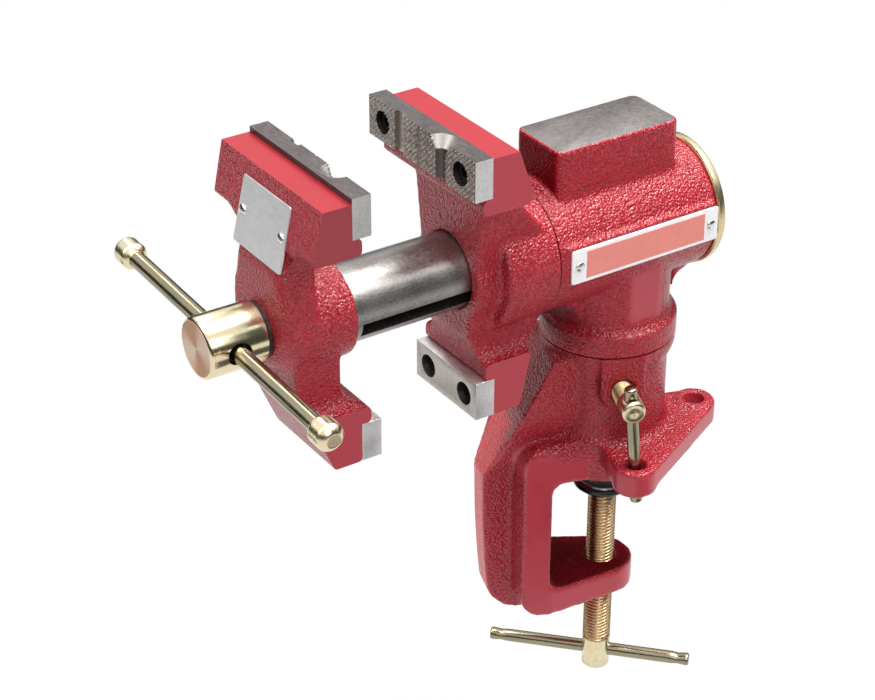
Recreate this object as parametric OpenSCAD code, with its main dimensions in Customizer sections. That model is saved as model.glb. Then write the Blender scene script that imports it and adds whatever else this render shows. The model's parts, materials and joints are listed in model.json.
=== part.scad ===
// Clamp vise with a swivel base, a rotating head and a second pair of jaws below the slide.
// Origin: swivel axis on the bench seat (the clamp throat's ceiling). +Z up, -Y towards the handle.

/* [Vise layout] */
// Height of the spindle axis above the bench seat
axis_h = 97.2; // [92:0.2:112]
// Distance from the swivel axis forward to the face of the rear upper jaw plate
face_back = 80.5; // [76:0.5:100]
// Jaw opening as shown
jaw_open = 38.2; // [20:0.2:45]
// Turn of the clamp base against the head as shown
base_turn = -18; // [-30:1:0]

/* [Upper jaws] */
// Width of the upper jaws
jaw_w = 63.5; // [58:0.5:70]
// Height of an upper jaw plate
plate_h = 14.4; // [13:0.1:16]
// Thickness of an upper jaw plate
plate_t = 7.2; // [6.4:0.1:9]
// Height of the upper jaw plates' top edge above the spindle axis
plate_top = 55.7; // [53:0.1:62]
// How far the sliding jaw's casting stays below its plate's top edge
slide_drop = 2; // [0.5:0.1:4]
// How far the rear jaw's casting stays below its plate's top edge
rear_drop = 0.5; // [0.2:0.1:3]
// Depth of the casting's flat top behind a plate
jaw_back = 10; // [8:0.1:13]
// Depth of the rear jaw's flat top behind its plate
rear_flat = 9.5; // [8:0.1:12]
// How far the rear jaw's sloped back runs out below its flat top
rear_slope = 7.1; // [4:0.1:9]
// Rounding of the rear jaw's lower back edge
rear_edge = 2.2; // [1:0.1:4]
// How far the rear jaw's casting stops short of its plate on the left
rear_short = 3.5; // [0:0.1:5]
// Height of the ledge below an upper plate
ledge_h = 6; // [4:0.1:8]
// How far the ledges stay behind the plates' faces
ledge_set = 3.8; // [3:0.1:5]
// Distance of the plate screws from the middle of an upper plate
plate_screw_x = 23.2; // [22:0.1:25]

/* [Lower jaws] */
// Width of the lower jaws
low_w = 37.4; // [34:0.2:44]
// Height of a lower jaw plate
low_h = 14.3; // [13:0.1:16]
// Thickness of a lower jaw plate
low_t = 7.6; // [6.8:0.1:9]
// Depth of the lower plates' top edge below the spindle axis
low_drop = 36.1; // [34:0.1:38]
// Offset of the lower plates' faces to the rear of the upper ones
low_set = 10.4; // [8:0.1:12]
// Depth of the lower jaw blocks behind their plates
low_depth = 10.8; // [8:0.1:14]
// How far the rear jaw's lower back leans out towards its top
low_lean = 4.5; // [2:0.1:6]
// Height over which the rear jaw's lower neck runs into its ledge
low_bend = 9; // [6:0.5:12]
// Distance of the plate screws from the middle of a lower plate
low_screw_x = 11.1; // [10.4:0.1:12.4]

/* [Jaw plate screws and grooves] */
// Radius of the screws' counterbore in a plate
bore_r = 4.15; // [3.8:0.05:4.6]
// Thickness of the plate under the counterbore
bore_floor = 2.4; // [1.6:0.1:3]
// Radius of the screws' shank
shank_r = 2.5; // [2:0.1:2.8]
// Height of the screws' head
screw_head_h = 2.6; // [1.6:0.1:3]
// Radius of the hexagon socket's corners
socket_r = 2.2; // [1.6:0.1:2.4]
// Length of the shank inside the casting
shank_len = 6; // [4:0.5:7]
// Width of the flat upright groove
groove_w = 5; // [3:0.1:6]
// Depth of the flat upright groove
groove_d = 1.6; // [0.8:0.1:2.4]
// Place of the flat groove from the middle of the plate
groove_x = -12.9; // [-14.5:0.1:-8]
// Depth of the thin V groove
vee_d = 1; // [0.5:0.1:1.6]
// Place of the thin V groove from the middle of the plate
vee_x = -1; // [-3:0.1:3]
// Radius of the round upright groove
round_r = 2.9; // [2:0.1:3.4]
// Place of the round groove from the middle of the plate
round_x = 11.8; // [9:0.1:13.5]
// Radius of the cone that opens the round groove at the top
cone_r = 4.6; // [3.6:0.1:5.2]
// Depth of that cone
cone_h = 4; // [2:0.1:6]

/* [Jaw castings] */
// Radius of the boss that carries the slide tube
boss_r = 16.6; // [16:0.1:19]
// Radius of the boss's front end
nose_r = 12.2; // [11.6:0.1:14]
// Length of the cone at the boss's front
nose_len = 5.5; // [3:0.1:7]
// Distance of the boss's rear end behind the sliding upper plate's face
boss_rear = 4.2; // [2:0.1:7]
// Distance of the sliding jaw's front from its upper plate's face, at the spindle
slide_front = 24.3; // [22.5:0.1:28]
// Height of the knee in the sliding jaw's front above the spindle axis
front_knee = 23.6; // [20:0.1:28]
// Half width of the rear jaw's upper neck
neck_half = 20; // [18:0.5:24]
// Half width of the sliding jaw's upper neck
slide_neck_half = 15.3; // [14:0.1:18]
// Chamfer of that neck's front edges
neck_edge = 3.4; // [1:0.1:4.5]
// Length of those chamfers above and below the knee
neck_edge_len = 10; // [6:0.5:14]
// Half width of the lower neck
low_neck_half = 13.5; // [12:0.5:16]
// Place of the sliding jaw's lower neck behind its upper plate's face
low_neck_rear = 1.5; // [0:0.1:4]
// Setback of the necks behind the upper plates' faces
neck_set = 11; // [10:0.2:13]
// Distance of the rear jaw's neck back from its upper plate's face
neck_back = 41; // [34:0.5:41]
// Height where the rear jaw's neck back starts to lean forward
neck_knee = 12; // [8:0.5:16]
// Concave radius under the jaw blocks
neck_fillet = 9.6; // [6:0.2:11]
// Radius of the hub behind the rear jaw
hub_r = 23.9; // [22.5:0.1:25]
// Distance of the joint between hub and barrel from the rear upper plate's face
hub_end = 41.5; // [40:0.1:42.4]
// Length of the hub
hub_len = 21; // [16:0.5:26]
// Casting round the slide tube's bore in the rear jaw
bore_wall = 5; // [4:0.1:6]

/* [Slide and spindle] */
// Outer radius of the slide tube
tube_r = 13.6; // [13:0.1:14.6]
// Inner radius of the slide tube
tube_bore_r = 9; // [8.5:0.1:10]
// Width of the slot along the slide tube
slot_w = 5.6; // [4:0.1:7]
// Turn of the slot from straight down, towards the right-hand side
slot_turn = 70; // [30:1:80]
// Distance of the slot's start behind the sliding jaw's boss
slot_in = 3; // [2:0.5:8]
// Radius of the spindle's screw
spindle_r = 6; // [5:0.1:7]
// Radius of the spindle's head
head_r = 10.6; // [9.5:0.1:12]
// Length of the spindle's head
head_len = 21.7; // [17:0.1:26]
// Thickness of the thrust washer behind the head
washer_t = 1.2; // [0.8:0.1:2]
// Thickness of the casting that takes the spindle's thrust
thrust_wall = 6.5; // [5:0.1:8]
// Thickness of the collar that holds the spindle in the jaw
collar_t = 6; // [5:0.2:8]
// Radius of the pin through the collar
collar_pin_r = 1.4; // [1:0.1:1.6]
// Length of the spindle nut
nut_len = 20; // [14:0.5:26]
// Distance of the nut's middle behind the rear upper plate's face
nut_mid = 36; // [34:0.5:40]
// Free length left behind the slide tube when the jaws are closed
end_gap = 2; // [1:0.5:4]
// Radius of the sleeve that turns in the barrel
sleeve_r = 19; // [18.4:0.1:20]

/* [Handle] */
// Radius of the handle bar
handle_r = 3; // [2.4:0.1:3.6]
// Distance of the handle's axis from the front of the spindle's head
handle_in = 10.4; // [8:0.1:11]
// How far the handle has slid to the left
handle_slid = 1.6; // [0:0.1:10]
// Turn of the spindle as shown, right end of the handle down
handle_turn = 1.9; // [0:0.1:10]
// Distance between the middles of the two knobs
handle_span = 129; // [110:1:150]
// Radius of a knob
knob_r = 4.9; // [4.2:0.1:6]
// Length of a knob
knob_len = 10; // [8:0.2:12]

/* [Barrel and anvil] */
// Radius of the barrel
barrel_r = 23.8; // [23.2:0.1:24.4]
// Distance of the barrel's rear end behind the swivel axis
barrel_back = 29; // [28.2:0.1:36]
// Chamfer of the barrel's ends
barrel_edge = 1.4; // [0.6:0.1:2]
// Height of the anvil's face above the spindle axis
anvil_top = 38.7; // [35:0.1:46]
// Width of the anvil's face
anvil_w = 26; // [20:0.2:30]
// Length of the anvil's face
anvil_len = 51.6; // [40:0.2:52]
// Distance of the anvil's front from the rear upper plate's face
anvil_front = 47.2; // [46:0.1:50]
// Corner radius of the anvil
anvil_round = 3.2; // [1:0.1:6]
// Distance of the flat side pad from the spindle axis
side_flat = 24; // [23.6:0.1:24.8]
// Thickness of the rear cap
cap_t = 3.4; // [2:0.1:5]
// Radius of the rear cap
cap_r = 24.2; // [22:0.1:25]
// Depth of the rear cap's threaded hub
cap_hub = 7; // [4:0.5:9]
// Room between the slide tube and the rear cap's hub
cap_room = 2.6; // [2:0.1:3.4]
// Distance of the spanner holes from the middle of the rear cap
cap_hole_x = 15; // [12:0.5:19]
// Radius of the spanner holes
cap_hole_r = 2.5; // [1.5:0.1:3]

/* [Plates] */
// Length of the side plate
side_plate_len = 63.3; // [58:0.1:66]
// Height of the side plate
side_plate_h = 12.7; // [10:0.1:15]
// Distance of the side plate's front end from the rear upper plate's face
side_plate_front = 45.3; // [43:0.1:46]
// Thickness of the side plate and of the data plate
sheet_t = 0.7; // [0.4:0.1:1]
// Height of the side plate's middle above the spindle axis
side_plate_z = 1; // [-1:0.1:2]
// Rim of the flat side pad round the side plate
flat_rim = 1.4; // [1:0.1:2]
// Distance of the side plate's rivets from its ends
side_rivet_in = 3.2; // [2.6:0.1:6]
// Width of the data plate
data_w = 29.8; // [24:0.2:32]
// Height of the data plate along the sloped front
data_h = 22.8; // [18:0.2:24]
// Distance of the data plate's top from the sloped front's upper edge
data_down = 5.2; // [3:0.1:8]
// Distance of the data plate's rivets from its middle
data_rivet_x = 12.1; // [9:0.1:13]
// Radius of the rivets' heads
rivet_r = 1.9; // [1.4:0.1:2.2]
// Height of the rivets' heads
rivet_h = 0.8; // [0.5:0.1:1.2]

/* [Swivel] */
// Radius of the head's flange
flange_r = 25; // [24.4:0.1:26]
// Height of the head's flange
flange_h = 8.5; // [7:0.1:10]
// Height of the joint between flange and tower above the bench seat
seam_h = 53.9; // [52:0.1:56]
// Radius of the neck between barrel and flange
stem_r = 22; // [20.4:0.1:23]
// Fillet between stem and flange
stem_fillet = 2.8; // [1.5:0.1:4]
// Fillet between stem and barrel
barrel_fillet = 6; // [4:0.5:7]
// Width of that fillet
barrel_fillet_w = 22; // [14:0.5:28]
// Distance of the flat on the stem's right-hand side
stem_flat = 21.2; // [20:0.1:21.8]
// Radius of the spigot that turns in the tower
spigot_r = 16.4; // [15:0.1:17.4]
// Depth of the spigot below the flange
spigot_len = 32; // [29:0.5:36]
// Depth of the groove that the swivel lock screw presses into
lock_groove = 1.5; // [1:0.1:2]

/* [Base] */
// Outer radius of the tower
tower_r = 22.3; // [21.6:0.1:23.4]
// Radius of the tower's top rim
rim_r = 24.8; // [24:0.1:25.6]
// Height of the cone below the tower's rim
rim_h = 9.8; // [6:0.2:12]
// Height of the lugs' underside above the bench seat
lug_low = 7.7; // [5:0.1:9]
// Thickness of the lugs
base_t = 8.5; // [7:0.1:10]
// Fillet at the foot of the tower
tower_fillet = 4; // [2:0.5:5]
// Distance of the lug holes from the swivel axis
lug_x = 35.7; // [35:0.1:40]
// Outer radius of a lug
lug_r = 8; // [7.2:0.1:9.5]
// Radius of a lug hole
lug_hole_r = 3.8; // [3.4:0.1:4.4]
// How far the near lug's boss reaches below the base plate
lug_foot = 1.6; // [0.5:0.1:3]
// Height of the raised spot round a lug hole
lug_spot_h = 1.2; // [0.6:0.1:2]
// Rim left round a raised spot
lug_spot_in = 1; // [0.6:0.1:2]

/* [Clamp frame] */
// Height of the clamp's throat below the bench seat
throat_h = 47.6; // [44:0.2:56]
// Thickness of the lower arm
arm_t = 11.2; // [10:0.2:14]
// Distance of the throat's rear wall from the clamp screw's axis
throat_d = 24.9; // [23:0.1:30]
// Thickness of the frame's back
spine_t = 11.2; // [9:0.1:14]
// Half width of the frame at its back
spine_half = 18.8; // [17:0.2:22]
// Radius of the lower arm's round end
arm_r = 12.3; // [10:0.1:13.5]
// Offset of the clamp screw behind the swivel axis
clamp_y = 1; // [0:0.1:3]
// Reach of the bench seat behind the swivel axis
seat_back = 19; // [15:0.5:21]
// Rounding of the frame's outer corners
frame_round = 9; // [5:0.5:11]
// Rounding of the upper arm's top edges
arm_round = 4; // [2:0.2:5]
// Height of the rib along the frame's back
rib_out = 10.9; // [9:0.1:15]
// Width of that rib
rib_w = 12.6; // [9:0.2:16]
// How far the rib's foot hangs below the lower arm
rib_foot = 3.2; // [0.5:0.1:4]
// How far the rib draws in towards its foot
rib_taper = 2.2; // [0:0.1:4]
// Corner radius of the rib's foot
rib_round = 6; // [3:0.5:8]
// Height where the rib has run into the gusset below the tower
gusset_z = 29; // [24:0.5:34]
// Half width of that gusset
gusset_half = 16; // [12:0.5:18]
// Distance of the gusset's front from the swivel axis
gusset_out = 36; // [33:0.5:40]
// Distance of the gusset's top below the seam
gusset_drop = 3; // [1:0.5:8]
// How far the gusset leans in towards its top
gusset_lean = 11; // [8:0.5:12]
// Radius of the throat's inner corners
throat_round = 5; // [3:0.5:8]

/* [Clamp screw] */
// Radius of the clamp screw
clamp_r = 5.4; // [4.6:0.1:6]
// Radius of the screw's tip inside the pad
tip_r = 3.1; // [2.4:0.1:3.6]
// Height of the gap between bench seat and pad as shown
pad_gap = 11.4; // [8:0.2:18]
// Outer radius of the pad
pad_r = 11.4; // [9:0.1:13]
// Height of the pad
pad_h = 5; // [4.2:0.1:7]
// Depth of the pad's dished face
pad_dish = 1.6; // [0.8:0.1:2]
// Width of the pad's flat rim
pad_rim = 1.4; // [0.8:0.1:2]
// Radius of the pad's flat dish floor
pad_floor_r = 6; // [4:0.1:7]
// Thickness of the pad between its dish and the screw's tip
pad_web = 0.6; // [0.4:0.1:1]
// Distance of the clamp bar below the pad's face
clamp_bar_drop = 81.5; // [76:0.1:88]
// Length of the screw's smooth end below the bar's axis
clamp_tail = 7; // [5:0.2:9]
// Radius of the clamp bar
clamp_bar_r = 2.5; // [2:0.1:3]
// Length of the clamp bar
clamp_bar_len = 79; // [66:0.5:95]
// Turn of the clamp bar from the jaws' width
clamp_bar_turn = 44; // [0:1:90]
// How far the clamp bar has slid towards the jaws
clamp_bar_slid = 2.6; // [0:0.1:10]

/* [Lock screws] */
// Height of the swivel lock screw above the bench seat
lock_h = 39.8; // [38:0.2:42]
// Turn of the swivel lock screw from the near lug
lock_turn = -4; // [-6:0.5:0]
// Tilt of the swivel lock bar as shown
lock_tilt = 5; // [2:0.5:6]
// Radius of the lock screws
lock_r = 4.3; // [3.6:0.1:5]
// Distance of a lock bar behind its screw's end
lock_bar_in = 3.8; // [3.4:0.1:5]
// Radius of the lock bars
lock_bar_r = 2.3; // [1.8:0.1:2.6]
// Length of the lock bars
lock_bar_len = 48; // [44:0.5:52]
// How far the swivel lock bar has dropped below the middle of its length
lock_bar_slid = 15.5; // [14:0.1:16]
// Half width of the pad round a lock screw
lock_boss_r = 8.3; // [7.5:0.1:9]
// How far a lock screw's pad stands out of the casting
lock_boss_out = 2.2; // [1:0.1:3]
// Height of the head lock screw below the spindle axis
head_lock_drop = 7; // [4:0.2:9]
// Distance of the head lock screw behind the swivel axis
head_lock_y = 4; // [0:0.5:8]
// Distance of the head lock screw's end from the vise's middle plane
head_lock_end = 39; // [37.5:0.1:42]

/* [Clearances] */
// Gap on each side of a running fit
run_gap = 0.05; // [0.02:0.01:0.08]
// Gap between parts that pass each other freely
free_gap = 0.4; // [0.3:0.05:0.6]
// Gap between faces that turn on each other
face_gap = 0.1; // [0.05:0.01:0.2]

/* [Hidden] */
$fn = 64;
cut = 1;
chamfer = 0.8;
block_low = plate_top - plate_h - ledge_h;
plate_mid = plate_top - plate_h / 2;
low_mid = -low_drop - low_h / 2;
low_bottom = low_drop + low_h;
low_ledge_top = low_drop - ledge_h;
slide_top = plate_top - slide_drop;
rear_top = plate_top - rear_drop;
// The sliding jaw's front is sloped above and below the boss.
low_knee = nose_r;
low_back = low_t - low_set;
low_front = low_back + low_depth;
low_ledge = ledge_set - low_set;
front_slope = atan((slide_front - plate_t - jaw_back) / (slide_top - front_knee));
front_len = (slide_top - front_knee) / cos(front_slope);
// The rear jaw's back, behind the upper and lower blocks.
rear_back = plate_t + rear_flat + rear_slope;
rear_low_face = low_set + low_t;
rear_low_back = rear_low_face + low_depth;
// Spindle, front to rear, seen from the rear upper plate's face.
barrel_end = face_back + barrel_back;
boss_front = -jaw_open - slide_front;
head_rear = boss_front - washer_t - face_gap;
head_front = head_rear - head_len;
tube_front = boss_front + thrust_wall;
collar_front = tube_front + face_gap;
collar_mid = collar_front + collar_t / 2;
handle_y = head_front + handle_in;
sleeve_end = barrel_end - face_gap;
// The tube and the spindle end clear of the rear cap when the jaws are closed.
tube_end = sleeve_end - cap_hub - jaw_open - end_gap;
spindle_end = tube_end - end_gap;
key_w = slot_w - 2 * free_gap;
nut_r = tube_bore_r - free_gap;
nut_front = nut_mid - nut_len / 2;
hub_bore_r = tube_r + cap_room;
cap_front = barrel_end + face_gap;
flange_top = seam_h + flange_h;
spigot_bottom = seam_h - spigot_len;
base_top = lug_low + base_t;
// The swivel lock bar hangs through the near lug's hole.
lock_end = lug_x + lock_bar_in;
lock_face = tower_r + lock_boss_out;
head_lock_x = head_lock_end - lock_bar_in;
head_lock_root = sleeve_r / 2;
pad_face = -pad_gap;
pad_low = pad_face - pad_h;
clamp_bar_z = pad_face - clamp_bar_drop;
arm_low = -throat_h - arm_t;
spine_out = throat_d + spine_t;
pinch_len = 7;
pinch_depth = 0.5;
knob_ball = knob_len * 0.56;
knob_grip = knob_len * 0.3;
cast_red = "#a51d2d";
steel = "#8d8f92";
dark_steel = "#55575a";
plated = "#d8c387";
sheet_metal = "#d5d8dc";

// Helpers

// Head frame: origin on the spindle axis in the plane of the rear upper plate's face.
module at_head() translate([0, -face_back, axis_h]) children();

// Sliding jaw frame: origin at its upper plate's face, +Y towards the handle.
module at_slide() at_head() translate([0, -jaw_open, 0]) mirror([0, 1, 0]) children();

// Base frame: X through the near lug.
module at_base() rotate([0, 0, base_turn]) children();

// Frame of the swivel lock screw: X along the screw.
module at_lock() at_base() rotate([0, 0, lock_turn]) translate([0, 0, lock_h]) children();

// Frame of the clamp screw: on its axis, X along the jaws' width.
module at_clamp() at_base() translate([0, clamp_y, 0]) rotate([0, 0, -base_turn]) children();

// Frame of the head lock screw on the left-hand side: X along the screw.
module at_head_lock() at_head() translate([0, face_back + head_lock_y, -head_lock_drop])
    mirror([1, 0, 0]) children();

// Frame of the handle: X along its bar.
module at_handle() at_head() translate([0, handle_y, 0]) rotate([0, handle_turn, 0]) children();

// A (y, z) profile drawn out over the width w, centred on X.
module along_x(w) translate([-w / 2, 0, 0]) rotate([90, 0, 90]) linear_extrude(w) children();

// An (x, z) profile drawn out from y0 to y1.
module along_y(y0, y1) translate([0, y1, 0]) rotate([90, 0, 0]) linear_extrude(y1 - y0) children();

// A round bar along Y from y0 to y1.
module rod_y(r, y0, y1) translate([0, y0, 0]) rotate([-90, 0, 0]) cylinder(r = r, h = y1 - y0);

// A cone along Y from radius r0 at y0 to r1 at y1.
module cone_y(r0, r1, y0, y1) translate([0, y0, 0]) rotate([-90, 0, 0])
    cylinder(r1 = r0, r2 = r1, h = y1 - y0);

// A round bar along X from x0 to x1.
module rod_x(r, x0, x1) translate([x0, 0, 0]) rotate([0, 90, 0]) cylinder(r = r, h = x1 - x0);

// A chamfered end on a round bar along +X, from x to x + chamfer.
module end_x(r, x) translate([x, 0, 0]) rotate([0, 90, 0]) cylinder(r1 = r, r2 = r - chamfer, h = chamfer);

// A bar of length l centred on the origin along X, with a pinched flat near each end.
module pinched_bar(r, l) difference() {
    union() {
        rod_x(r, -l / 2 + chamfer, l / 2 - chamfer);
        for (s = [0, 180]) rotate([0, 0, s]) end_x(r, l / 2 - chamfer);
    }
    for (s = [-1, 1], t = [-1, 1])
        translate([s * (l / 2 - pinch_len / 2 - chamfer), 0, t * (2 * r - pinch_depth)])
            cube([pinch_len / 2, 2 * r + cut, 2 * r], center = true);
}

// Concave fillet below a ledge: fills the corner at the ledge's inner end.
module corner_fill_down(r) difference() {
    translate([-r, -r]) square(r);
    translate([0, -r]) circle(r);
}

// Concave fillet above a step: fills the corner at the step's inner end.
module corner_fill_up(r) difference() {
    translate([-r, 0]) square(r);
    translate([0, r]) circle(r);
}

// A rectangle from x0 to x1 and from 0 up to h, with its two upper corners rounded.
module round_top(x0, x1, h, r) {
    translate([x0, 0]) square([x1 - x0, h - r]);
    translate([x0 + r, 0]) square([x1 - x0 - 2 * r, h]);
    for (x = [x0 + r, x1 - r]) translate([x, h - r]) circle(r);
}

// Outline of a jaw seen along the slide: upper block, neck, boss, lower neck and lower block.
module jaw_outline(top, half, short) {
    translate([-jaw_w / 2 + short, block_low]) square([jaw_w - short, top - block_low]);
    neck_low = block_low - neck_fillet;
    polygon([[-half, block_low + cut], [-half, neck_low], [-boss_r, 0], [boss_r, 0],
        [half, neck_low], [half, block_low + cut]]);
    circle(boss_r);
    translate([-low_neck_half, -low_ledge_top - cut]) square([2 * low_neck_half, low_ledge_top + cut]);
    translate([-low_w / 2, -low_bottom]) square([low_w, low_bottom - low_ledge_top]);
    low_fillet = low_w / 2 - low_neck_half;
    for (s = [0, 1]) mirror([s, 0]) {
        translate([half + neck_fillet, block_low]) corner_fill_down(neck_fillet);
        translate([low_w / 2, -low_ledge_top]) corner_fill_up(low_fillet);
    }
}

// Tapped holes for one plate's two screws.
module tapped_holes(x, z, face) for (s = [-1, 1])
    translate([s * x, 0, z]) rod_y(shank_r + run_gap, face - cut, face + shank_len + free_gap);

// Counterbored holes for the screws in a plate of thickness t.
module plate_holes(x, z, t) for (s = [-1, 1]) translate([s * x, 0, z]) {
    rod_y(bore_r, -cut, t - bore_floor);
    rod_y(shank_r + free_gap, -cut, t + cut);
}

// Upper plate in the sliding jaw's sense: face at y = 0, back at y = plate_t.
module upper_plate() difference() {
    translate([-jaw_w / 2, 0, plate_top - plate_h]) cube([jaw_w, plate_t, plate_h]);
    plate_holes(plate_screw_x, plate_mid, plate_t);
    groove_low = plate_top - plate_h - cut;
    groove_h = plate_h + 2 * cut;
    vee = vee_d * sqrt(2);
    translate([groove_x - groove_w / 2, -cut, groove_low]) cube([groove_w, cut + groove_d, groove_h]);
    translate([vee_x, 0, groove_low]) rotate([0, 0, 45])
        translate([-vee / 2, -vee / 2, 0]) cube([vee, vee, groove_h]);
    translate([round_x, 0, groove_low]) cylinder(r = round_r, h = groove_h);
    translate([round_x, 0, plate_top - cone_h]) {
        cylinder(r1 = round_r, r2 = cone_r, h = cone_h);
        translate([0, 0, cone_h]) cylinder(r = cone_r, h = cut);
    }
}

// Lower plate, drawn like the upper one.
module lower_plate() difference() {
    translate([-low_w / 2, 0, -low_bottom]) cube([low_w, low_t, low_h]);
    plate_holes(low_screw_x, low_mid, low_t);
}

// One pair of socket screws whose heads sit on the counterbore's floor at depth y = seat.
module plate_screws(x, z, seat) for (s = [-1, 1]) translate([s * x, 0, z]) difference() {
    union() {
        rod_y(bore_r - free_gap / 2, seat - screw_head_h, seat);
        rod_y(shank_r, seat - cut / 2, seat + bore_floor + shank_len);
    }
    translate([0, seat - screw_head_h - cut, 0]) rotate([-90, 0, 0])
        cylinder(r = socket_r, h = cut + screw_head_h - chamfer, $fn = 6);
}

// Domed rivet head on the plane z = 0.
module rivet() {
    dome_r = (rivet_r * rivet_r + rivet_h * rivet_h) / (2 * rivet_h);
    rotate_extrude() intersection() {
        translate([0, rivet_h - dome_r]) circle(dome_r);
        square([rivet_r, rivet_h]);
    }
}

// Lock screw along +X: tip at x = tip, end disc at x = end, cross hole along Z for its bar at x = bar.
module lock_screw(tip, end, bar) difference() {
    union() {
        rod_x(lock_r, tip, end - chamfer);
        end_x(lock_r, end - chamfer);
    }
    translate([bar, 0, -lock_r - cut]) cylinder(r = lock_bar_r + run_gap, h = 2 * (lock_r + cut));
}

// Base

// Plan of the base plate: three lugs, two of them joined by a straight edge.
module plate_plan() {
    for (a = [0, 90, 180]) rotate(a) translate([lug_x, 0]) circle(lug_r);
    k = lug_r * sqrt(0.5);
    polygon([[lug_x + k, k], [k, lug_x + k], [0, lug_x], [-lug_r, lug_x], [-lug_r, lug_r], [-lug_x, lug_r],
        [-lug_x, -lug_r], [lug_x, -lug_r]]);
}

// Plan of the lower arm and the frame's back: wide at the back, round at the clamp screw.
module frame_plan() {
    reach = throat_d + clamp_y;
    translate([0, clamp_y]) {
        circle(arm_r);
        a = atan2(-reach, spine_half) + acos(arm_r / sqrt(pow(reach, 2) + pow(spine_half, 2)));
        tangent = [arm_r * cos(a), arm_r * sin(a)];
        polygon([tangent, [-tangent[0], tangent[1]], [-spine_half, -reach], [spine_half, -reach]]);
    }
    translate([-spine_half, -spine_out]) square([2 * spine_half, spine_t + cut]);
}

// Plan of the upper arm with the bench seat below it.
module seat_plan() translate([0, -spine_out])
    round_top(-spine_half, spine_half, spine_out + seat_back, frame_round);

// Side of the clamp frame: a C open towards +Y, in (y, z).
module frame_side() difference() {
    union() {
        translate([-spine_out + frame_round, arm_low])
            square([2 * spine_out, base_top - arm_low]);
        translate([-spine_out, arm_low + frame_round])
            square([frame_round + cut, base_top - arm_low - 2 * frame_round]);
        for (z = [arm_low + frame_round, base_top - frame_round])
            translate([-spine_out + frame_round, z]) circle(frame_round);
    }
    translate([-throat_d + throat_round, -throat_h]) square([3 * spine_out, throat_h]);
    translate([-throat_d, -throat_h + throat_round])
        square([throat_round + cut, throat_h - 2 * throat_round]);
    for (z = [-throat_h + throat_round, -throat_round])
        translate([-throat_d + throat_round, z]) circle(throat_round);
}

// Front of the clamp frame in (x, z), with its upper edges rounded.
module frame_front() translate([0, arm_low])
    round_top(-spine_half, spine_half, base_top - arm_low, arm_round);

// Side of the rib and of the gusset that carries it up to the tower, in (y, z).
module rib_side() {
    out = spine_out + rib_out;
    foot = arm_low - rib_foot;
    gusset_top = seam_h - gusset_drop;
    polygon([[0, gusset_top], [-gusset_out + gusset_lean, gusset_top], [-gusset_out, gusset_z],
        [-out, 0], [-out + rib_taper, foot + rib_round],
        [-out + rib_taper + rib_round * (1 - cos(45)), foot + rib_round * (1 - sin(45))],
        [-out + rib_taper + rib_round, foot], [-spine_out + frame_round / 2, foot],
        [-throat_d, arm_low + cut], [-spine_out + spine_t / 2, 0],
        [0, lug_low]]);
}

// Front of the rib in (x, z): it widens upwards into the gusset.
module rib_front() polygon([[-rib_w / 2, arm_low - 2 * rib_foot], [rib_w / 2, arm_low - 2 * rib_foot],
    [rib_w / 2, 0], [gusset_half, gusset_z], [gusset_half, seam_h],
    [-gusset_half, seam_h], [-gusset_half, gusset_z], [-rib_w / 2, 0]]);

module tower() rotate_extrude() difference() {
    union() {
        square([tower_r, seam_h]);
        polygon([[0, seam_h - rim_h], [tower_r, seam_h - rim_h], [rim_r, seam_h - rim_h / 3],
            [rim_r, seam_h], [0, seam_h]]);
        translate([0, base_top]) square([tower_r + tower_fillet, tower_fillet]);
    }
    translate([tower_r + tower_fillet, base_top + tower_fillet]) circle(tower_fillet);
}

// Flat pad on the tower with a round foot, from x0 to the pad's face.
module lock_pad(x0) translate([x0, 0, 0]) rotate([90, 0, 90]) linear_extrude(lock_face - x0) {
    circle(lock_boss_r);
    translate([-lock_boss_r, 0]) square([2 * lock_boss_r, seam_h - lock_h - face_gap]);
}

module base_casting() color(cast_red) difference() {
    union() {
        at_base() {
            translate([0, 0, lug_low]) linear_extrude(base_t) plate_plan();
            translate([lug_x, 0, lug_low - lug_foot]) cylinder(r = lug_r, h = lug_foot + cut);
            intersection() {
                translate([0, 0, arm_low]) linear_extrude(-arm_low - throat_round) frame_plan();
                along_x(2 * spine_half + 2 * cut) frame_side();
            }
            intersection() {
                translate([0, 0, -throat_h / 2]) linear_extrude(base_top + throat_h / 2) seat_plan();
                along_x(2 * spine_half + 2 * cut) frame_side();
                along_y(-spine_out - cut, spine_out) frame_front();
            }
            intersection() {
                along_x(2 * gusset_half + cut) rib_side();
                along_y(-spine_out - rib_out - cut, cut) rib_front();
            }
            tower();
            for (a = [90, 180]) rotate(a) translate([lug_x, 0, base_top - cut])
                cylinder(r = lug_r - lug_spot_in, h = cut + lug_spot_h);
        }
        at_lock() lock_pad(spigot_r + cut);
    }
    at_base() for (a = [0, 90, 180]) rotate(a) translate([lug_x, 0, lug_low - lug_foot - cut])
        cylinder(r = lug_hole_r, h = lug_foot + base_t + lug_spot_h + 2 * cut);
    translate([0, 0, spigot_bottom - free_gap])
        cylinder(r = spigot_r + run_gap, h = spigot_len + free_gap + cut);
    at_lock() rod_x(lock_r + run_gap, 0, lock_face + cut);
    at_clamp() translate([0, 0, arm_low - cut]) cylinder(r = clamp_r + run_gap, h = arm_t + 2 * cut);
}

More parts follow.
